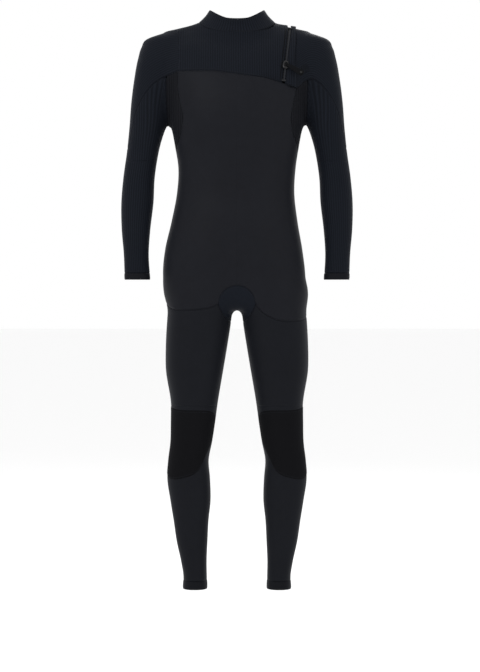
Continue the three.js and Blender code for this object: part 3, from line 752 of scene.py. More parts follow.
def rib_group():
    """Ribs: rounded ridges along one direction, whose phase wanders a little, broken by short
    cross stitches. Out come a height and a mask that is 1 on the ridges, by which the cloth paints
    highlight on the ridges and shade in the grooves."""
    group, n, src, out = new_group(
        "Ribs",
        [("Along", "NodeSocketFloat", 0.0), ("Across", "NodeSocketFloat", 0.0),
         ("Pitch", "NodeSocketFloat", 0.0052)],
        [("Height", "NodeSocketFloat"), ("Ridge", "NodeSocketFloat")])
    place = n.add("ShaderNodeTexCoord").outputs["Object"]
    wander = n.add("ShaderNodeTexNoise", {"Vector": place, "Scale": 14.0, "Detail": 1.0})
    shifted = n.math("ADD", src["Across"], n.math("MULTIPLY", wander.outputs[0], 0.0016))
    turn = n.math("DIVIDE", 2 * math.pi, src["Pitch"])
    wave = n.math("SINE", n.math("MULTIPLY", shifted, turn))
    ridge = n.math("MULTIPLY_ADD", wave, 0.5, 0.5)
    cross = n.math("SINE", n.math("MULTIPLY", src["Along"], n.math("MULTIPLY", turn, 1.7)))
    height = n.math("ADD", n.math("POWER", ridge, 0.8), n.math("MULTIPLY", cross, 0.12))
    n.tree.links.new(height, out["Height"])
    n.tree.links.new(ridge, out["Ridge"])
    return group


def stitch_group():
    """Stitches: a line at a set distance from the panel's edge, cut into slanted dashes along the
    edge. Out come a mask of the thread, a height, and a mask of the pressed strip outside it, by
    which the cloth is darkened as painted shade."""
    group, n, src, out = new_group(
        "Stitches",
        [("Edge", "NodeSocketFloat", 1.0), ("Run", "NodeSocketFloat", 0.0),
         ("Inset", "NodeSocketFloat", 0.0042)],
        [("Thread", "NodeSocketFloat"), ("Height", "NodeSocketFloat"),
         ("Pressed shade", "NodeSocketFloat")])
    off = n.math("ABSOLUTE", n.math("SUBTRACT", src["Edge"], src["Inset"]))
    line = n.math("SUBTRACT", 1.0, n.math("DIVIDE", off, 0.0011), clamp=True)
    slant = n.math("MULTIPLY_ADD", src["Edge"], 0.9, src["Run"])
    dash = n.math("GREATER_THAN", n.math("SINE", n.math("MULTIPLY", slant, 2 * math.pi / 0.0034)),
                  -0.35)
    thread = n.math("MULTIPLY", line, dash)
    pressed = n.math("LESS_THAN", src["Edge"], n.math("ADD", src["Inset"], 0.001))
    n.tree.links.new(thread, out["Thread"])
    n.tree.links.new(n.math("SUBTRACT", thread, n.math("MULTIPLY", pressed, 0.6)), out["Height"])
    n.tree.links.new(pressed, out["Pressed shade"])
    return group


GROUPS = {}


def shared(name):
    """A shared node group, made the first time that it is asked for."""
    makers = {"knit": knit_group, "ribs": rib_group, "stitches": stitch_group}
    if name not in GROUPS:
        GROUPS[name] = makers[name]()
    return GROUPS[name]


def tinted(colour, amount):
    """A colour made lighter or darker, with full alpha."""
    return (*[min(1.0, c * amount) for c in colour], 1.0)


def cloth_material(name, colour, ribs=None, roughness=0.62, sheen=0.35, knit=0.0011,
                   contrast=0.3, depth=0.35, stitched=True):
    """Laminated neoprene: knit everywhere, ribs where they are asked for ("x", "u" or "v" gives
    the way across them), stitches beside sewn edges, and a matt rubber inside."""
    made = bpy.data.materials.new(name)
    made.use_nodes = True
    n = Nodes(made.node_tree)
    made.node_tree.nodes.clear()
    knit_node = n.add("ShaderNodeGroup", {"Pitch": knit, "Roughness": roughness},
                      node_tree=shared("knit"))
    base = n.mix(knit_node.outputs["Tint"], tinted(colour, 1 - contrast * 0.6),
                 tinted(colour, 1 + contrast))
    height = n.math("MULTIPLY", knit_node.outputs["Height"], 0.16)
    uv = n.add("ShaderNodeUVMap", uv_map="UVMap").outputs[0]
    uv_axes = n.add("ShaderNodeSeparateXYZ", {0: uv}).outputs
    if ribs:
        place = n.add("ShaderNodeTexCoord").outputs["Object"]
        axes = n.add("ShaderNodeSeparateXYZ", {0: place}).outputs
        across = {"x": axes["X"], "u": uv_axes["X"], "v": uv_axes["Y"]}[ribs]
        run = {"x": axes["Z"], "u": uv_axes["Y"], "v": uv_axes["X"]}[ribs]
        rib = n.add("ShaderNodeGroup", {"Pitch": sizes().rib_pitch, "Across": across,
                                        "Along": run}, node_tree=shared("ribs"))
        # Painted highlight and shade: the ridges are lightened to 1.35 of the colour and the grooves
        # darkened to 0.7, as light falls across ribs.
        base = n.mix(rib.outputs["Ridge"], tinted(colour, 0.7), tinted(colour, 1.35))
        height = n.math("ADD", height, rib.outputs["Height"])
    if stitched:
        edge = n.add("ShaderNodeAttribute", attribute_name="edge").outputs["Fac"]
        run = n.math("ADD", uv_axes["X"], uv_axes["Y"])
        stitch = n.add("ShaderNodeGroup", {"Inset": sizes().stitch_inset, "Edge": edge,
                                           "Run": run}, node_tree=shared("stitches"))
        # Painted shade: the pressed strip beside each sewn edge is darkened towards 0.62 of the
        # colour, as shade in the seam's dip.
        base = n.mix(n.math("MULTIPLY", stitch.outputs["Pressed shade"], 0.35), base,
                     tinted(colour, 0.62))
        base = n.mix(n.math("MULTIPLY", stitch.outputs["Thread"], 0.8), base,
                     (*colours().thread, 1.0))
        height = n.math("MULTIPLY_ADD", stitch.outputs["Height"], 0.7, height)
    inner = n.add("ShaderNodeAttribute", attribute_name="inner").outputs["Fac"]
    base = n.mix(inner, base, tinted(colours().trim, 0.7))
    bump = n.add("ShaderNodeBump", {"Height": height, "Strength": depth, "Distance": 0.0009})
    shader = n.add("ShaderNodeBsdfPrincipled", {
        "Base Color": base, "Roughness": knit_node.outputs["Roughness"],
        "Normal": bump.outputs[0], "Sheen Weight": sheen * 0.1, "Sheen Roughness": 0.5,
        "Sheen Tint": (0.6, 0.65, 0.8, 1.0), "Specular IOR Level": 0.05})
    n.add("ShaderNodeOutputMaterial", {"Surface": shader.outputs[0]})
    return made


def plain_material(name, colour, roughness, metallic=0.0, grain=220.0, depth=0.2, coat=0.0,
                   specular=0.12):
    """Moulded rubber, plastic or metal: fine grain in the bump and slow changes in roughness and
    colour, as handling leaves."""
    made = bpy.data.materials.new(name)
    made.use_nodes = True
    n = Nodes(made.node_tree)
    made.node_tree.nodes.clear()
    place = n.add("ShaderNodeTexCoord").outputs["Object"]
    fine = n.add("ShaderNodeTexNoise", {"Vector": place, "Scale": grain, "Detail": 5.0})
    slow = n.add("ShaderNodeTexNoise", {"Vector": place, "Scale": grain / 9, "Detail": 3.0})
    base = n.mix(slow.outputs[0], tinted(colour, 0.75), tinted(colour, 1.25))
    rough = n.math("MULTIPLY_ADD", slow.outputs[0], 0.24, roughness - 0.12)
    bump = n.add("ShaderNodeBump", {"Height": fine.outputs[0], "Strength": depth,
                                    "Distance": 0.0004})
    shader = n.add("ShaderNodeBsdfPrincipled", {
        "Base Color": base, "Roughness": rough, "Metallic": metallic, "Coat Weight": coat,
        "Normal": bump.outputs[0], "Specular IOR Level": specular})
    n.add("ShaderNodeOutputMaterial", {"Surface": shader.outputs[0]})
    return made


MATERIALS = {}


def finish(name):
    """One of the suit's materials by name, made when it is first used."""
    c = colours()
    makers = {
        "ribbed_x": lambda: cloth_material("Ribbed yoke", c.ribbed, "x", 0.66, 0.4),
        "ribbed_u": lambda: cloth_material("Ribbed sleeve", c.ribbed, "u", 0.66, 0.4),
        "ribbed_v": lambda: cloth_material("Ribbed shoulder", c.ribbed, "v", 0.66, 0.4),
        "body": lambda: cloth_material("Body jersey", c.body, None, 0.5, 0.25, 0.0013, 0.35),
        "side": lambda: cloth_material("Side panel", tinted(c.body, 0.7)[:3], "x", 0.7, 0.2),
        "gusset": lambda: cloth_material("Gusset", tinted(c.ribbed, 1.1)[:3], None, 0.66, 0.3),
        "leg": lambda: cloth_material("Leg jersey", c.leg, None, 0.56, 0.3, 0.0012, 0.3),
        "knee": lambda: cloth_material("Knee print", c.knee, None, 0.8, 0.1, 0.0022, 0.2, 0.6),
        "trim": lambda: cloth_material("Trim", c.trim, None, 0.6, 0.3, 0.001, 0.2,
                                       stitched=False),
        # Painted highlight: the piping is the trim colour lightened 2.2 times, for the light along
        # its raised edge.
        "piping": lambda: plain_material("Piping with painted highlight", tinted(c.trim, 2.2)[:3], 0.5, 0.0, 200.0, 0.2),
        "lining": lambda: plain_material("Smooth-skin neoprene", c.trim, 0.45, 0.0, 90.0, 0.3),
        "plastic": lambda: plain_material("Zip plastic", c.trim, 0.32, 0.0, 400.0, 0.1, 0.3),
        # The pull's rubber is its own dark colour; on the flap's lip the same finish is painted
        # shade.
        "pull": lambda: plain_material("Pull rubber and painted flap shade", tinted(c.trim, 0.5)[:3], 0.6, 0.0, 300.0, 0.35,
                                       specular=0.06),
        "keeper": lambda: plain_material("Keeper patch", tinted(c.ribbed, 0.8)[:3], 0.6, 0.0, 300.0,
                                         0.3, specular=0.06),
        "metal": lambda: plain_material("Zip metal", c.metal, 0.3, 0.4, 500.0, 0.15,
                                        specular=0.4),
    }
    if name not in MATERIALS:
        MATERIALS[name] = makers[name]()
    return MATERIALS[name]


# The trunk's panels.

LOBE_LOW = {1: 656, -1: 684}  # how low the hip panel reaches on each thigh
LOBE_MIDDLE, LOBE_HALF, LOBE_RISE = 120, 57, 34
HEM_START, CHEST_START = 690, 1240  # first guesses of the hem's and the chest seam's heights


def hem_height(x, side):
    """The trunk panels' lower edge: up and over the gusset, then a low lobe over each thigh."""
    x = np.abs(x)
    low = LOBE_LOW[side]
    arc = GUSSET_HEIGHT + np.sqrt(np.clip(GUSSET_RADIUS**2 - x**2, 0, None))
    inner = low + (GUSSET_HEIGHT - low) * ((x - LOBE_MIDDLE) / (GUSSET_RADIUS - LOBE_MIDDLE)) ** 2
    outer = low + LOBE_RISE * ((x - LOBE_MIDDLE) / LOBE_HALF) ** 2
    return np.where(x < GUSSET_RADIUS, arc, np.where(x < LOBE_MIDDLE, inner, outer))


def seam_angle(height):
    """The torso's angle at the side seam, from 0 at the very side."""
    half = sections(TORSO, height)[..., 2]
    x = np.interp(height, SIDE_SEAM[:, 0], SIDE_SEAM[:, 1])
    angle = np.arccos(np.clip(x / half, 0, 1) ** (SQUARENESS / 2))
    return np.where(height < SIDE_SEAM[1, 0], 0, angle)


def trunk_point(share, height, side, back):
    """A point of the torso's oval by its share of the way from the middle to the side seam."""
    sign = 1 if back else -1
    angle = sign * (math.pi / 2 * (1 - share) + seam_angle(height) * share)
    points = oval_point(TORSO, angle, height)
    points[..., 0] -= sections(TORSO, height)[..., 0]
    return mirrored(points, side)


def trunk_row(wanted, side, back, share, start):
    """The line across half the torso whose height is a given function of x."""
    height = np.full(len(share), float(start))
    for _ in range(12):
        height = 0.5 * height + 0.5 * wanted(trunk_point(share, height, side, back)[:, 0])
    return on_line(trunk_point(share, height, side, back)), height


def hem_shares(side, back, count):
    """Shares with one exactly where the gusset's side meets the hem."""
    fine = np.linspace(0, 1, 400)
    line, _ = trunk_row(lambda x: hem_height(x, side), side, back, fine, HEM_START)
    corner = fine[np.argmin(np.abs(np.abs(line[:, 0]) - GUSSET_RADIUS))]
    k = max(6, int(round(corner * (count - 1))))
    return np.r_[0, 0.002, np.linspace(0, corner, k + 1)[1:-1],
                 np.linspace(corner, 1, count - k)], k + 1


def trunk_grid(side, back, columns=44, rows=130):
    """Half the front or back of the trunk: columns at fixed shares of the way from the middle to
    the side seam, rows evenly spaced from the hem up to the chest seam."""
    share, _ = hem_shares(side, back, columns)
    hem, low = trunk_row(lambda x: hem_height(x, side), side, back, share, HEM_START)
    top, high = trunk_row(chest_height, side, back, share, CHEST_START)
    top[-1] = yoke_corner(side, back)
    v = np.linspace(0, 1, rows)[:, None]
    height = low[None] * (1 - v) + high[None] * v
    points = trunk_point(np.broadcast_to(share, height.shape), height, side, back)
    points[0], points[-1] = hem, top
    points, _ = onto_body(points)
    points[0], points[-1] = hem, top
    points[:, 0] = front_point(0, points[:, 0, 2], back)
    return onto_body(points, 0)


def seam_line(side, back, count):
    """The side seam from where it leaves the very side up to the yoke's corner."""
    height = np.linspace(SIDE_PANEL_LOW, chest_height(side * YOKE_EDGE), count)
    line = on_line(trunk_point(np.ones(count), height, side, back))
    line[-1] = yoke_corner(side, back)
    return line


def hem_line(side, back):
    """The hem of half the trunk in two parts: over the gusset, and from there to the side."""
    share, k = hem_shares(side, back, 90)
    hem, _ = trunk_row(lambda x: hem_height(x, side), side, back, share, HEM_START)
    return hem[:k + 1], hem[k:]


def gusset_side(side, count):
    """The gusset's long edge, from behind, under the inner thigh and up to the front."""
    start, end = hem_line(side, True)[0][-1], hem_line(side, False)[0][-1]
    t = np.linspace(0, 1, count)
    line = between(start, end, (1 - np.cos(math.pi * t)) / 2)
    line[:, 0] -= side * GUSSET_INSET * np.sin(math.pi * t)
    line[:, 2] -= GUSSET_DROP * np.sin(math.pi * t) ** 0.8
    line = on_line(line)
    line[0], line[-1] = start, end
    return along(line, count)


def make_trunk():
    """Front and back of the trunk, each in a left and a right half."""
    for side, word in SIDES:
        for back in (False, True):
            points, normals = trunk_grid(side, back)
            name = ("back" if back else "front") + f"_panel_{word}"
            piece = panel(name, points, normals, finish("body"), ("top", "bottom", "right"))
            nodes = ("back_panel", "seat_panel") if back else ("front_panel",
                                                               "lower_front_panel")
            cloth(piece, "body_jersey", *nodes)
            bend(piece, "hip", side)


def make_sides():
    """The ribbed panels under the arms, between the side seams and the armpit."""
    for side, word in SIDES:
        front, rear = seam_line(side, False, 60), seam_line(side, True, 60)
        low = on_line(between(front[0], rear[0], np.linspace(0, 1, 41)))
        low[0], low[-1] = front[0], rear[0]
        over, _ = split_line(sleeve_line(side, False, 200), crease_point(side, False))
        behind, _ = split_line(sleeve_line(side, True, 200), crease_point(side, True))
        top = along(np.concatenate([over, armpit_line(side, 60)[1:-1], behind[::-1]]), 41)
        points, normals = patch(low, top, front, rear, (side * 6, 0, 0))
        piece = panel(f"side_panel_{word}", points, normals, finish("side"),
                      ("top", "left", "right"))
        cloth(piece, "ribbed_neoprene", f"side_panel_{word}")
        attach(piece, "torso")


def make_gusset():
    """The gusset between the legs, round-topped in front and behind."""
    front = np.concatenate([hem_line(-1, False)[0][::-1], hem_line(1, False)[0][1:]])
    rear = np.concatenate([hem_line(-1, True)[0][::-1], hem_line(1, True)[0][1:]])
    front, rear = along(front, 41), along(rear, 41)
    left, right = gusset_side(-1, 60), gusset_side(1, 60)
    points, normals = patch(rear, front, left, right)
    piece = panel("crotch_gusset", points, normals, finish("gusset"),
                  ("top", "bottom", "left", "right"))
    cloth(piece, "ribbed_neoprene", "crotch_gusset")
    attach(piece, "torso")


# The yoke.

def zip_side(across, count):
    """The edge of the cloth beside the zip, from the chest seam up to the top of the shoulder."""
    x = ZIP_X + across + (ZIP_SEAM_HEIGHT - ZIP_PIVOT) * math.tan(ZIP_LEAN)
    low = chest_line(x, x, 1)[0]
    high = yoke_top(-YOKE_EDGE, ZIP_TOP_X + across, False, 2)[-1]
    angle = np.radians(np.linspace(9, 52, 50))
    line = zip_point(across, ZIP_RADIUS - 0.4, angle)
    return smoothed(np.concatenate([low[None], line, high[None]]), count, 2)


def sew_yoke(name, bottom, top, left, right, bulge, edges):
    """One ribbed panel of the yoke; in front it is eased onto the zip."""
    points, normals = patch(bottom, top, left, right, bulge)
    if bulge[1] < 0:
        points = seat_on_zip(points)
        normals = normals_of(points)
    piece = panel(name, points, normals, finish("ribbed_x"), edges)
    cloth(piece, "ribbed_neoprene", name)
    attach(piece, "torso")


def make_yoke():
    """The chest yoke, the small panel beyond the zip, and the back yoke."""
    forward, backward = (0, -20, 10), (0, 20, 10)
    left, right = yoke_side(-1, False, 70), zip_side(-CHANNEL, 70)
    sew_yoke("chest_yoke", chest_line(left[0, 0], right[0, 0], 90),
             yoke_top(-YOKE_EDGE, ZIP_TOP_X - CHANNEL, False, 90), left, right, forward,
             ("top", "bottom", "right"))
    left, right = zip_side(CHANNEL, 70), yoke_side(1, False, 70)
    sew_yoke("left_shoulder_panel", chest_line(left[0, 0], right[0, 0], 14),
             yoke_top(ZIP_TOP_X + CHANNEL, YOKE_EDGE, False, 14), left, right, forward,
             ("top", "bottom", "left"))
    sew_yoke("back_yoke", chest_line(-YOKE_EDGE, YOKE_EDGE, 90, True),
             yoke_top(-YOKE_EDGE, YOKE_EDGE, True, 90), yoke_side(-1, True, 60),
             yoke_side(1, True, 60), backward, ("top", "bottom"))


# Sleeves.

def sleeve_tip(side, back):
    """Where the shoulder cap's seam ends, on the outer side of the arm."""
    y = CAP_TIP_BACK if back else CAP_TIP_FRONT
    return on_line(np.array([[side * CAP_TIP_X, y, CAP_TIP_HEIGHT]], float))[0]


def cap_seam(side, back, count):
    """The sleeve's seam above its lowest stretch, carried on to the cap's tip and eased."""
    line = sleeve_line(side, back, 200)
    tip = sleeve_tip(side, back)
    line = line[line[:, 2] > CAP_SEAM_LOW]
    return along(smoothed(np.concatenate([line, tip[None]]), 120, 4), count)


def make_shoulders():
    """The shoulder caps, from the yoke's edge out to a point on the arm."""
    for side, word in SIDES:
        front, rear = cap_seam(side, False, 80), cap_seam(side, True, 80)
        near = along(np.concatenate([yoke_side(side, False, 40),
                                     yoke_side(side, True, 40)[-2::-1]]), 61)
        far = on_line(between(front[-1], rear[-1], np.linspace(0, 1, 61)))
        far[0], far[-1] = front[-1], rear[-1]
        points, normals = patch(front, rear, near, far, (side * 20, 0, 30))
        piece = panel(f"shoulder_{word}", points, normals, finish("ribbed_v"),
                      ("top", "bottom", "right"))
        cloth(piece, "ribbed_neoprene", f"shoulder_cap_{word}")
        bend(piece, "shoulder", side)


def sleeve_mouth(side, count):
    """The upper end of the sleeve: down the front seam, under the arm, and up the seam behind."""
    _, front = split_line(cap_seam(side, False, 200), crease_point(side, False))
    _, rear = split_line(cap_seam(side, True, 200), crease_point(side, True))
    far = on_line(between(rear[-1], front[-1], np.linspace(0, 1, 12)))
    loop = np.concatenate([front[::-1], armpit_line(side, 60)[1:-1], rear, far[1:]])
    return along(loop, count + 1)[:-1]


def arm_ring(side, height, like):
    """A ring of the arm at a height, starting at the same angle as another ring and turning the
    same way round."""
    flat = mirrored(like, side)
    start = np.unwrap(oval_angle(ARM, flat))
    turn = np.sign(start[-1] - start[0])
    angle = start[0] + turn * np.linspace(0, 2 * math.pi, len(like) + 1)[:-1]
    return mirrored(oval_point(ARM, angle, np.full(len(like), float(height))), side)


def arm_rows(side, first, last, rows, project=True):
    """Rows of the arm from one ring to the next, drawn onto the body where project says so."""
    grid = mirrored(rows_between(mirrored(first, side), mirrored(last, side), rows, ARM), side)
    grid[0] = first
    grid, normals = onto_body(grid, 6 if project else 0)
    grid[0] = first
    return grid, normals


def make_sleeves():
    """Upper sleeve, forearm and wrist cuff, each a tube that starts on the last one's ring."""
    for side, word in SIDES:
        mouth = sleeve_mouth(side, 96)
        ring = arm_ring(side, ELBOW_TOP, mouth)
        points, normals = arm_rows(side, mouth, ring, 52)
        piece = panel(f"sleeve_{word}", points, normals, finish("ribbed_u"), ("bottom",),
                      wrap=True)
        cloth(piece, "ribbed_neoprene", f"underarm_front_{word}", f"underarm_back_{word}",
              f"upper_sleeve_outer_{word}", f"upper_sleeve_under_{word}")
        bend(piece, "shoulder", side)
        ring = points[-1]
        low = arm_ring(side, WRIST_CUFF, ring)
        points, normals = arm_rows(side, ring, low, 80)
        piece = panel(f"forearm_{word}", points, normals, finish("ribbed_u"), ("top",),
                      wrap=True, uv_row=0)
        cloth(piece, "ribbed_neoprene", f"elbow_section_{word}", f"forearm_sleeve_{word}")
        bend(piece, "elbow", side)
        ring = points[-1]
        low = arm_ring(side, ARM[0, 0], ring)
        points, normals = arm_rows(side, ring, low, 8, False)
        piece = panel(f"wrist_cuff_{word}", points, normals, finish("trim"),
                      ("bottom", "top"), wrap=True, lift=0.6)
        cloth(piece, "trim_tape", f"wrist_cuff_{word}")
        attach(piece, f"forearm_{word}")


# Legs.

def leg_line(side, height, start, end, count):
    """Part of a ring of the leg at a height, from one angle to another."""
    angle = np.linspace(start, end, count)
    return mirrored(oval_point(LEG, angle, np.full(count, float(height))), side)


def leg_rows(side, first, last, rows):
    """Rows of the leg from one line to another, drawn onto the body."""
    grid = mirrored(rows_between(mirrored(first, side), mirrored(last, side), rows, LEG), side)
    grid[0], grid[-1] = first, last
    grid, normals = onto_body(grid, 6)
    grid[0] = first
    return grid, normals


def make_legs():
    """Front and back of each thigh and lower leg, and the ankle hem."""
    for side, word in SIDES:
        edge = gusset_side(side, 81)
        for back in (False, True):
            place = "back" if back else "front"
            sign = 1 if back else -1
            outer = hem_line(side, back)[1][::-1]
            inner = edge[:41] if back else edge[40:][::-1]
            top = along(np.concatenate([outer, inner[1:]]), 60)
            ring = leg_line(side, KNEE_TOP, 0, sign * math.pi, 60)
            points, normals = leg_rows(side, top, ring, 66)
            piece = panel(f"thigh_{place}_{word}", points, normals, finish("leg"),
                          ("left", "right", "bottom"))
            cloth(piece, "leg_jersey", f"thigh_{place}_{word}")
            bend(piece, "hip", side)
            ring = points[-1]
            low = leg_line(side, ANKLE_CUFF, 0, sign * math.pi, 60)
            points, normals = leg_rows(side, ring, low, 110)
            piece = panel(f"lower_leg_{place}_{word}", points, normals, finish("leg"),
                          ("left", "right", "top"))
            nodes = [f"calf_back_{word}", f"knee_back_{word}"] if back else [
                f"shin_front_{word}"]
            cloth(piece, "leg_jersey", *nodes)
            bend(piece, "knee", side)
        angle = np.linspace(0, 2 * math.pi, 97)[:-1]
        t = np.linspace(ANKLE_CUFF, 0, 9)[:, None]
        ring = mirrored(oval_point(LEG, angle[None] + 0 * t, t + 0 * angle[None]), side)
        _, normals = onto_body(ring, 0)
        piece = panel(f"ankle_cuff_{word}", ring, normals, finish("trim"), ("bottom", "top"),
                      wrap=True, lift=0.6)
        cloth(piece, "trim_tape", f"ankle_cuff_{word}")
        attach(piece, f"calf_{word}")


# Height of a knee pad's edges from the outer side of the knee round to the inner side.
PAD_TOP = ((0, 447), (0.3, 441), (0.7, 440), (0.92, 433), (1, 424))
PAD_BOTTOM = ((0, 282), (0.14, 271), (0.35, 270), (0.55, 278), (0.72, 296), (0.86, 328), (1, 372))


def make_knees():
    """The knee pads: thin sheets that lie on the leg between two eased outlines."""
    for side, word in SIDES:
        w = np.linspace(0, 1, 60)
        angle = -math.pi * (0.03 + 0.9 * w)
        top = eased(np.interp(w, *zip(*PAD_TOP)), 20)
        low = eased(np.interp(w, *zip(*PAD_BOTTOM)), 20)
        v = np.linspace(0, 1, 56)[:, None]
        points = mirrored(oval_point(LEG, angle[None] + 0 * v, low * (1 - v) + top * v), side)
        points, normals = onto_body(points, 4)
        piece = panel(f"knee_pad_{word}", points, normals, finish("knee"),
                      ("top", "bottom", "left", "right"), lift=1.1, wall=1.0)
        cloth(piece, "knee_grip", f"knee_pad_{word}")
        bend(piece, "knee", side)


# Collar and zip.

RIM_HEIGHT = 1421
RIM_HALF, RIM_MIDDLE = 68, 2
RIM_FRONT, RIM_BACK = (64, 30), (58, 13)  # depth, and how far the rim dips there
COLLAR_POINTS = 120
COLLAR_HOLLOW = 3
SEAL_INSET, SEAL_DROP = 4.0, 3.0


def turns(count):
    """Angles evenly spaced round a full turn."""
    return np.linspace(0, 2 * math.pi, count + 1)[:-1]


def rim_line(count, inset=0.0, drop=0.0):
    """The collar's open edge: highest at the sides, dipping in front and a little behind."""
    angle = turns(count)
    x = (RIM_HALF - inset) * np.cos(angle)
    depth = np.where(np.sin(angle) < 0, RIM_FRONT[0] - inset, RIM_BACK[0] - inset)
    y = RIM_MIDDLE + depth * np.sin(angle)
    dip = np.where(y < RIM_MIDDLE, RIM_FRONT[1], RIM_BACK[1]) * np.sin(angle) ** 2
    return np.stack([x, y, RIM_HEIGHT - dip - drop], -1)


def make_collar():
    """The stand collar, hollowed a little between its seam and its rim, and the seal inside it."""
    base = neck_line(0, 2 * math.pi, COLLAR_POINTS + 1)[:-1]
    rim = rim_line(COLLAR_POINTS)
    t = np.linspace(0, 1, 16)[:, None, None]
    points = base[None] * (1 - t) + rim[None] * t
    hollow = np.sin(math.pi * t) * COLLAR_HOLLOW
    out = (points - [0, RIM_MIDDLE, 0]) * [1, 1, 0]
    out /= np.linalg.norm(out, axis=-1, keepdims=True)
    points = points - out * hollow
    normals = normals_of(points)
    normals = np.where((normals * out).sum(-1, keepdims=True) < 0, -normals, normals)
    piece = panel("collar", points, normals, finish("ribbed_u"), ("bottom", "top"), wrap=True)
    cloth(piece, "ribbed_neoprene", "collar")
    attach(piece, "torso")
    inner_base = base - out[0] * 6 + [0, 0, 3]
    inner_rim = rim_line(COLLAR_POINTS, SEAL_INSET, SEAL_DROP)
    points = inner_base[None] * (1 - t) + inner_rim[None] * t - out * hollow
    piece = panel("inner_neck_seal", points, normals, finish("lining"), wrap=True, wall=1.6)
    cloth(piece, "smooth_skin", "inner_neck_seal")
    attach(piece, "torso")


# The zip's strips: radii from the arc's axis, and the arc's angles in degrees.
TAPE_EDGES, TAPE_RADII, TAPE_ANGLES = (0.15, 13.1), (199.9, 201.4), (7, 53.4)
TOOTH_EDGES, TOOTH_RADII = (-0.8, 3.1), (203.2, 204.9)
TOOTH_START, TOOTH_PITCH, TOOTH_SHARE, TOOTH_COUNT = 7.6, 1.2, 0.42, 37
UNDERLAP_HALF, UNDERLAP_RADII, UNDERLAP_ANGLES = 19, (198.0, 199.6), (7, 53)
CORD_ANGLES = (7.5, 53.2)
CORD_SIDES = 16
BOX_FACES = ((0, 1, 3, 2), (4, 6, 7, 5), (0, 4, 5, 1), (2, 3, 7, 6), (0, 2, 6, 4), (1, 5, 7, 3))


def capped(rings, columns):
    """The faces of a stack of closed rings, with a flat cap at each end."""
    last = (rings - 1) * columns
    return grid_faces(rings, columns, wrap=True).tolist() + [
        list(range(columns - 1, -1, -1)), list(range(last, last + columns))]


def arc_strip(name, edges, radii, angles, material, steps=60):
    """A closed strip of box section that follows the zip's arc."""
    (x0, x1), (r0, r1) = sorted(edges), radii
    angle = np.radians(np.linspace(*angles, steps))[:, None]
    points = zip_point(np.array([[x0, x1, x1, x0]]), np.array([[r0, r0, r1, r1]]), angle)
    return solid_object(name, points, capped(steps, 4), material, smooth=False)


def cord_on_arc(name, across, radius, thickness, material, flat=1.0, count=80):
    """A rounded cord of cloth along the zip's arc, as for a piping or the lip of a flap. It is
    as thick as the 0.15th power of the sine of its share of the way, so its ends are round."""
    angle = np.radians(np.linspace(*CORD_ANGLES, count))[:, None]
    around = turns(CORD_SIDES)[None]
    thick = thickness * np.sin(math.pi * np.linspace(0, 1, count)[:, None]) ** 0.15
    points = zip_point(across + np.cos(around) * thick * flat, radius + np.sin(around) * thick,
                       angle)
    return solid_object(name, points, capped(count, CORD_SIDES), material)


def tooth_row(name, sign):
    """One row of teeth: boxes along the arc, half a pitch on from the other row's."""
    points, faces = [], []
    for k in range(TOOTH_COUNT):
        start = TOOTH_START + k * TOOTH_PITCH + (0 if sign < 0 else TOOTH_PITCH / 2)
        ends = np.radians([start, start + TOOTH_PITCH * TOOTH_SHARE])
        edges = sorted(sign * x for x in TOOTH_EDGES)
        faces += [[len(points) + i for i in face] for face in BOX_FACES]
        points += [zip_point(x, r, a) for a in ends for r in TOOTH_RADII for x in edges]
    return solid_object(name, points, faces, finish("plastic"), smooth=False)


def make_zip():
    """The zip's tapes and teeth, the underlap behind it, and the cords along the flap."""
    for name, sign in (("inner", -1), ("outer", 1)):
        tape = arc_strip(f"zip_tape_{name}", [sign * x for x in TAPE_EDGES], TAPE_RADII,
                         TAPE_ANGLES, finish("trim"))
        fit(tape, f"zip_tape_{name}")
    for name, sign in (("inner", -1), ("outer", 1)):
        fit(tooth_row(f"zip_teeth_{name}", sign), f"zip_teeth_{name}")
    underlap = arc_strip("zip_underlap", (-UNDERLAP_HALF, UNDERLAP_HALF), UNDERLAP_RADII,
                         UNDERLAP_ANGLES, finish("lining"))
    fit(underlap, "zip_underlap")
    # Painted shade: the flap's lip takes the dark pull rubber, darker than the yoke beside it, for
    # the shadow along the flap's edge.
    lip = cord_on_arc("zip_flap_edge", -9.3, 204.7, 1.2, finish("pull"))
    fit(lip, "zip_flap_edge")
    # The piping's pale finish is painted highlight along the raised edge.
    piping = cord_on_arc("zip_piping", 0.8, 205.2, 1.5, finish("piping"), flat=1.5)
    fit(piping, "zip_piping")


KEEPER_PLACE = (166, 1272)  # x and height
# The keeper patch from its middle outwards: radius, and height above the cloth.
KEEPER_RINGS = np.array([(0.6, 0.5), (2.5, 0.5), (4.6, 0.6), (5.6, 1.3), (6.6, 1.5), (7.6, 1.3),
                         (8.6, 0.9), (9.4, 0.7), (10.0, 0.1)])


def make_keeper():
    """The round patch beside the pull's end: a raised ring pressed into the cloth."""
    around = turns(64)
    radii, rise = KEEPER_RINGS[:, 0, None], KEEPER_RINGS[:, 1, None, None]
    points, normals = onto_body(front_point(KEEPER_PLACE[0] + radii * np.cos(around),
                                            KEEPER_PLACE[1] + radii * np.sin(around)))
    piece = panel("pull_keeper", points + normals * rise, normals, finish("keeper"), wrap=True,
                  wall=1.4)
    fit(piece, "pull_keeper")


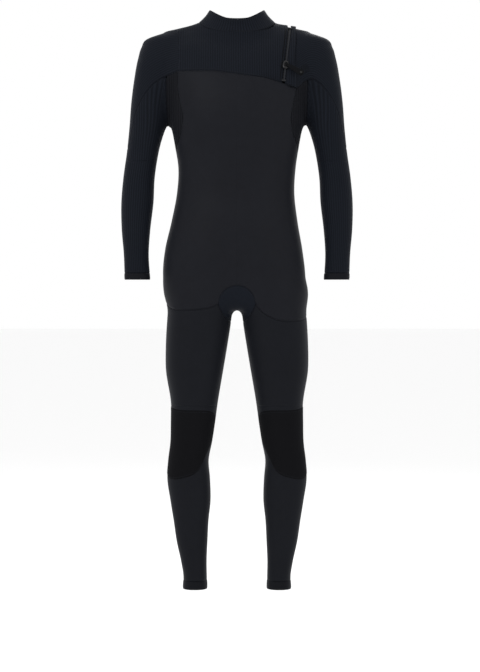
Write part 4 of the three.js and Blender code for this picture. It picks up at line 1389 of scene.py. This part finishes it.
def pull_point(along_, pin, out):
    """A point given beside the pull's pin: along the pull, along the pin, and out of the chest."""
    along_, pin, out = np.broadcast_arrays(np.asarray(along_, float), pin, out)
    c, t = math.cos(PULL_DROP), math.sin(PULL_DROP)
    across = along_ * c + pin * t
    tangent = -along_ * t + pin * c
    radius = PIN_RADIUS + out
    y = ZIP_CENTRE[0] - radius * math.cos(ZIP_REST) + tangent * math.sin(ZIP_REST)
    up = ZIP_CENTRE[1] + radius * math.sin(ZIP_REST) + tangent * math.cos(ZIP_REST) - ZIP_PIVOT
    x = across * math.cos(ZIP_LEAN) + up * math.sin(ZIP_LEAN) + ZIP_X
    z = -across * math.sin(ZIP_LEAN) + up * math.cos(ZIP_LEAN) + ZIP_PIVOT
    return np.stack([x, y, z], -1)


def stacked(name, rings, place, material):
    """A closed solid from a stack of outlines, each with as many points as the next."""
    points = place(*np.moveaxis(np.array(rings, float), -1, 0))
    return solid_object(name, points, capped(len(rings), len(rings[0])), material)


def oval_ring(half_x, half_y, out, power=2.6, count=48):
    """A squared oval at a height: each half size times the cosine or sine to the power 2/power."""
    turn = turns(count)
    c, s = np.cos(turn), np.sin(turn)
    return np.stack([np.sign(c) * np.abs(c) ** (2 / power) * half_x,
                     np.sign(s) * np.abs(s) ** (2 / power) * half_y, out + 0 * turn], -1)


SLIDER_HALF = (6.9, 10.4)
EAR_HALF = (2.2, 3.4)
# The slider's plate: its share of the full size, and the radius from the arc's axis.
SLIDER_PROFILE = ((0.80, 207.2), (0.93, 207.4), (1.0, 208.2), (1.0, 209.3), (0.94, 210.2),
                  (0.80, 210.7), (0.62, 210.8), (0.52, 211.0), (0.44, 211.4), (0.2, 211.5))
# An ear: its share of the full size, and its place along the pin.
EAR_PROFILE = ((0.7, 3.75), (0.95, 3.85), (1, 4.1), (1, 5.0), (0.95, 5.25), (0.7, 5.4))


def make_slider():
    """The slider's body is an oval plate with a raised middle; two ears hold the pull's pin."""
    body = stacked("zip_slider_body",
                   [oval_ring(SLIDER_HALF[0] * k, SLIDER_HALF[1] * k, r)
                    for k, r in SLIDER_PROFILE],
                   lambda x, y, r: zip_point(x, r, ZIP_REST + y / ZIP_RADIUS), finish("metal"))
    fit(body, "zip_slider", "slider")
    for name, sign in (("upper", 1), ("lower", -1)):
        ear = stacked(f"slider_ear_{name}",
                      [oval_ring(EAR_HALF[0] * k, EAR_HALF[1] * k, sign * p, 3)
                       for k, p in EAR_PROFILE],
                      lambda x, y, p: pull_point(x, p, y - 0.6), finish("metal"))
        fit(ear, "zip_slider", "slider")


PULL_HALF = [(2, 3.2), (9, 3.4), (15, 5.8), (30, 6.8), (44, 7.8)]  # along the pull, half width
PULL_TIP = 6
PULL_MIDDLE = (27.0, 0.0)
# The pull's tab from back to front: its share of the full width, and its height.
TAB_PROFILE = ((0.90, -1.2), (0.97, -1.1), (1, -0.6), (1, 0.6), (0.97, 1.1), (0.90, 1.25),
               (0.82, 1.2), (0.78, 0.9), (0.4, 0.85))
# The eye's section: radius from the pin, and place along it.
EYE_PROFILE = ((1.8, -3.5), (2.8, -3.5), (3.0, -3.2), (3.0, 3.2), (2.8, 3.5), (1.8, 3.5))
EYE_SIDES = 32


def make_pull():
    """The pull: an eye round the pin, then a soft tab that widens to a rounded end, with a
    raised border round a lower middle."""
    end = np.linspace(math.pi / 2, -math.pi / 2, 13)
    side = along(PULL_HALF, 24)
    length, half = PULL_HALF[-1]
    tip = np.stack([length + PULL_TIP * np.cos(end), half * np.sin(end)], -1)
    outline = np.concatenate([side, tip[1:-1], side[::-1] * [1, -1]])

    def ring(scale, out):
        """The outline drawn in towards its middle, less along the pull than across it."""
        flat = PULL_MIDDLE + (outline - PULL_MIDDLE) * [1 - (1 - scale) * 0.3, scale]
        return np.concatenate([flat, np.full((len(flat), 1), out)], 1)

    tab = stacked("zip_pull_tab", [ring(*level) for level in TAB_PROFILE], pull_point,
                  finish("pull"))
    fit(tab, "zip_pull", "pull")
    turn = turns(EYE_SIDES)
    radius, pin = np.array(EYE_PROFILE).T[..., None]
    points = pull_point(radius * np.cos(turn), pin + 0 * turn, radius * np.sin(turn))
    rings = len(EYE_PROFILE)
    faces = grid_faces(rings + 1, EYE_SIDES, wrap=True) % (rings * EYE_SIDES)
    eye = solid_object("zip_pull_eye", points, faces.tolist(), finish("pull"), smooth=False)
    fit(eye, "zip_pull", "pull")


def dress_metal():
    """The pin, the rivet and the zip's small stops keep their own solids and take a finish."""
    looks = {"pull_pin": "metal", "pull_rivet": "metal", "zip_stop_bottom": "plastic",
             "zip_stop_top": "plastic"}
    for name, look in looks.items():
        node = bpy.data.objects.get(name)
        if node is None:
            raise RuntimeError(f"no solid called {name}")
        for slot in node.material_slots:
            slot.material = finish(look)


# The stage.

def make_stage():
    """A plain pale floor, three soft lamps, white surroundings and the camera."""
    world = bpy.data.worlds.new("Studio")
    world.use_nodes = True
    world.node_tree.nodes["Background"].inputs["Color"].default_value = (1, 1, 1, 1)
    world.node_tree.nodes["Background"].inputs["Strength"].default_value = 1.0
    scene = bpy.context.scene
    scene.world = world
    scene.view_settings.view_transform = "Standard"
    white = bpy.data.materials.new("Studio floor")
    white.use_nodes = True
    shader = white.node_tree.nodes["Principled BSDF"]
    shader.inputs["Base Color"].default_value = (0.95, 0.95, 0.95, 1)
    shader.inputs["Roughness"].default_value = 0.9
    low, far = -1.5, 30
    mesh = bpy.data.meshes.new("Floor")
    mesh.from_pydata([(-far, -far, low), (far, -far, low), (far, far, low), (-far, far, low)], [],
                     [(0, 1, 2, 3)])
    mesh.materials.append(white)
    floor = bpy.data.objects.new("Floor", mesh)
    scene.collection.objects.link(floor)
    for name, place, aim, size, power in (
            ("Key light", (-1.6, -2.6, 1.1), (0, 0, -0.5), 1.6, 40),
            ("Fill light", (2.0, -2.4, 0.2), (0, 0, -0.7), 1.8, 12),
            ("Rim light", (0.6, 2.2, 1.4), (0, 0, -0.5), 1.2, 24)):
        lamp = bpy.data.lights.new(name, "AREA")
        lamp.size = size
        lamp.energy = power
        light = bpy.data.objects.new(name, lamp)
        scene.collection.objects.link(light)
        light.location = place
        light.rotation_euler = (Vector(aim) - Vector(place)).to_track_quat("-Z", "Y").to_euler()
    camera_data = bpy.data.cameras.new("Camera")
    camera_data.lens = 108.9
    camera_data.shift_y = -0.085
    camera_data.clip_end = 40
    camera = bpy.data.objects.new("Camera", camera_data)
    scene.collection.objects.link(camera)
    camera.location = (0.0074, -5.0, -0.64)
    camera.rotation_euler = (math.pi / 2, 0, 0)
    scene.camera = camera


class WetsuitOperator:
    """What the suit's operators share: they run one maker and let its errors through."""
    bl_options = {"REGISTER", "UNDO"}
    make = None

    def execute(self, context):
        type(self).make()
        return {"FINISHED"}


class WETSUIT_OT_trunk(WetsuitOperator, bpy.types.Operator):
    """Sews the front and back panels of the trunk"""
    bl_idname = "wetsuit.trunk"
    bl_label = "Trunk panels"
    make = staticmethod(make_trunk)


class WETSUIT_OT_sides(WetsuitOperator, bpy.types.Operator):
    """Sews the side panels under the arms"""
    bl_idname = "wetsuit.sides"
    bl_label = "Side panels"
    make = staticmethod(make_sides)


class WETSUIT_OT_gusset(WetsuitOperator, bpy.types.Operator):
    """Sews the gusset between the legs"""
    bl_idname = "wetsuit.gusset"
    bl_label = "Gusset"
    make = staticmethod(make_gusset)


class WETSUIT_OT_yoke(WetsuitOperator, bpy.types.Operator):
    """Sews the chest yoke, the left shoulder panel and the back yoke"""
    bl_idname = "wetsuit.yoke"
    bl_label = "Yoke"
    make = staticmethod(make_yoke)


class WETSUIT_OT_shoulders(WetsuitOperator, bpy.types.Operator):
    """Sews the shoulder caps"""
    bl_idname = "wetsuit.shoulders"
    bl_label = "Shoulder caps"
    make = staticmethod(make_shoulders)


class WETSUIT_OT_sleeves(WetsuitOperator, bpy.types.Operator):
    """Sews the sleeves and their cuffs"""
    bl_idname = "wetsuit.sleeves"
    bl_label = "Sleeves"
    make = staticmethod(make_sleeves)


class WETSUIT_OT_legs(WetsuitOperator, bpy.types.Operator):
    """Sews the thighs, lower legs and ankle hems"""
    bl_idname = "wetsuit.legs"
    bl_label = "Legs"
    make = staticmethod(make_legs)


class WETSUIT_OT_knees(WetsuitOperator, bpy.types.Operator):
    """Lays the knee pads over the knees"""
    bl_idname = "wetsuit.knees"
    bl_label = "Knee pads"
    make = staticmethod(make_knees)


class WETSUIT_OT_collar(WetsuitOperator, bpy.types.Operator):
    """Sews the collar and its inner seal"""
    bl_idname = "wetsuit.collar"
    bl_label = "Collar"
    make = staticmethod(make_collar)


class WETSUIT_OT_zip(WetsuitOperator, bpy.types.Operator):
    """Builds the zip's tapes, teeth, underlap, flap edge and piping"""
    bl_idname = "wetsuit.zip"
    bl_label = "Zip"
    make = staticmethod(make_zip)


class WETSUIT_OT_keeper(WetsuitOperator, bpy.types.Operator):
    """Presses the round patch beside the pull"""
    bl_idname = "wetsuit.keeper"
    bl_label = "Keeper patch"
    make = staticmethod(make_keeper)


class WETSUIT_OT_slider(WetsuitOperator, bpy.types.Operator):
    """Shapes the zip's slider and its ears"""
    bl_idname = "wetsuit.slider"
    bl_label = "Slider"
    make = staticmethod(make_slider)


class WETSUIT_OT_pull(WetsuitOperator, bpy.types.Operator):
    """Shapes the soft pull"""
    bl_idname = "wetsuit.pull"
    bl_label = "Pull"
    make = staticmethod(make_pull)


class WETSUIT_OT_metal(WetsuitOperator, bpy.types.Operator):
    """Finishes the pull's pin and rivet and the zip's stops"""
    bl_idname = "wetsuit.metal"
    bl_label = "Pin, rivet and stops"
    make = staticmethod(dress_metal)


class WETSUIT_OT_stage(WetsuitOperator, bpy.types.Operator):
    """Sets the floor, the lights and the camera"""
    bl_idname = "wetsuit.stage"
    bl_label = "Stage"
    make = staticmethod(make_stage)


OPERATORS = (WETSUIT_OT_trunk, WETSUIT_OT_sides, WETSUIT_OT_gusset, WETSUIT_OT_yoke,
             WETSUIT_OT_shoulders, WETSUIT_OT_sleeves, WETSUIT_OT_legs, WETSUIT_OT_knees,
             WETSUIT_OT_collar, WETSUIT_OT_zip, WETSUIT_OT_keeper,
             WETSUIT_OT_slider, WETSUIT_OT_pull, WETSUIT_OT_metal,
             WETSUIT_OT_stage)


class WETSUIT_PT_panel(bpy.types.Panel):
    """The suit's colours, sizes and steps"""
    bl_label = "Wetsuit"
    bl_idname = "WETSUIT_PT_panel"
    bl_space_type = "VIEW_3D"
    bl_region_type = "UI"
    bl_category = "Wetsuit"

    def draw(self, context):
        layout = self.layout
        for group in (context.scene.wetsuit_colours, context.scene.wetsuit_sizes):
            for name in type(group).__annotations__:
                layout.prop(group, name)
        for operator in OPERATORS:
            layout.operator(operator.bl_idname)


CLASSES = (WetsuitColours, WetsuitSizes, *OPERATORS, WETSUIT_PT_panel)


def register():
    """Registers the suit's classes and hangs its properties on the scene."""
    for cls in CLASSES:
        bpy.utils.register_class(cls)
    bpy.types.Scene.wetsuit_colours = PointerProperty(type=WetsuitColours)
    bpy.types.Scene.wetsuit_sizes = PointerProperty(type=WetsuitSizes)


def unregister():
    """Takes back what register did."""
    del bpy.types.Scene.wetsuit_sizes
    del bpy.types.Scene.wetsuit_colours
    for cls in reversed(CLASSES):
        bpy.utils.unregister_class(cls)


def main():
    """Makes every piece in order."""
    register()
    for step in ("trunk", "sides", "gusset", "yoke", "shoulders", "sleeves", "legs", "knees",
                 "collar", "zip", "keeper", "slider", "pull", "metal", "stage"):
        getattr(bpy.ops.wetsuit, step)()


if __name__ == "__main__":
    main()
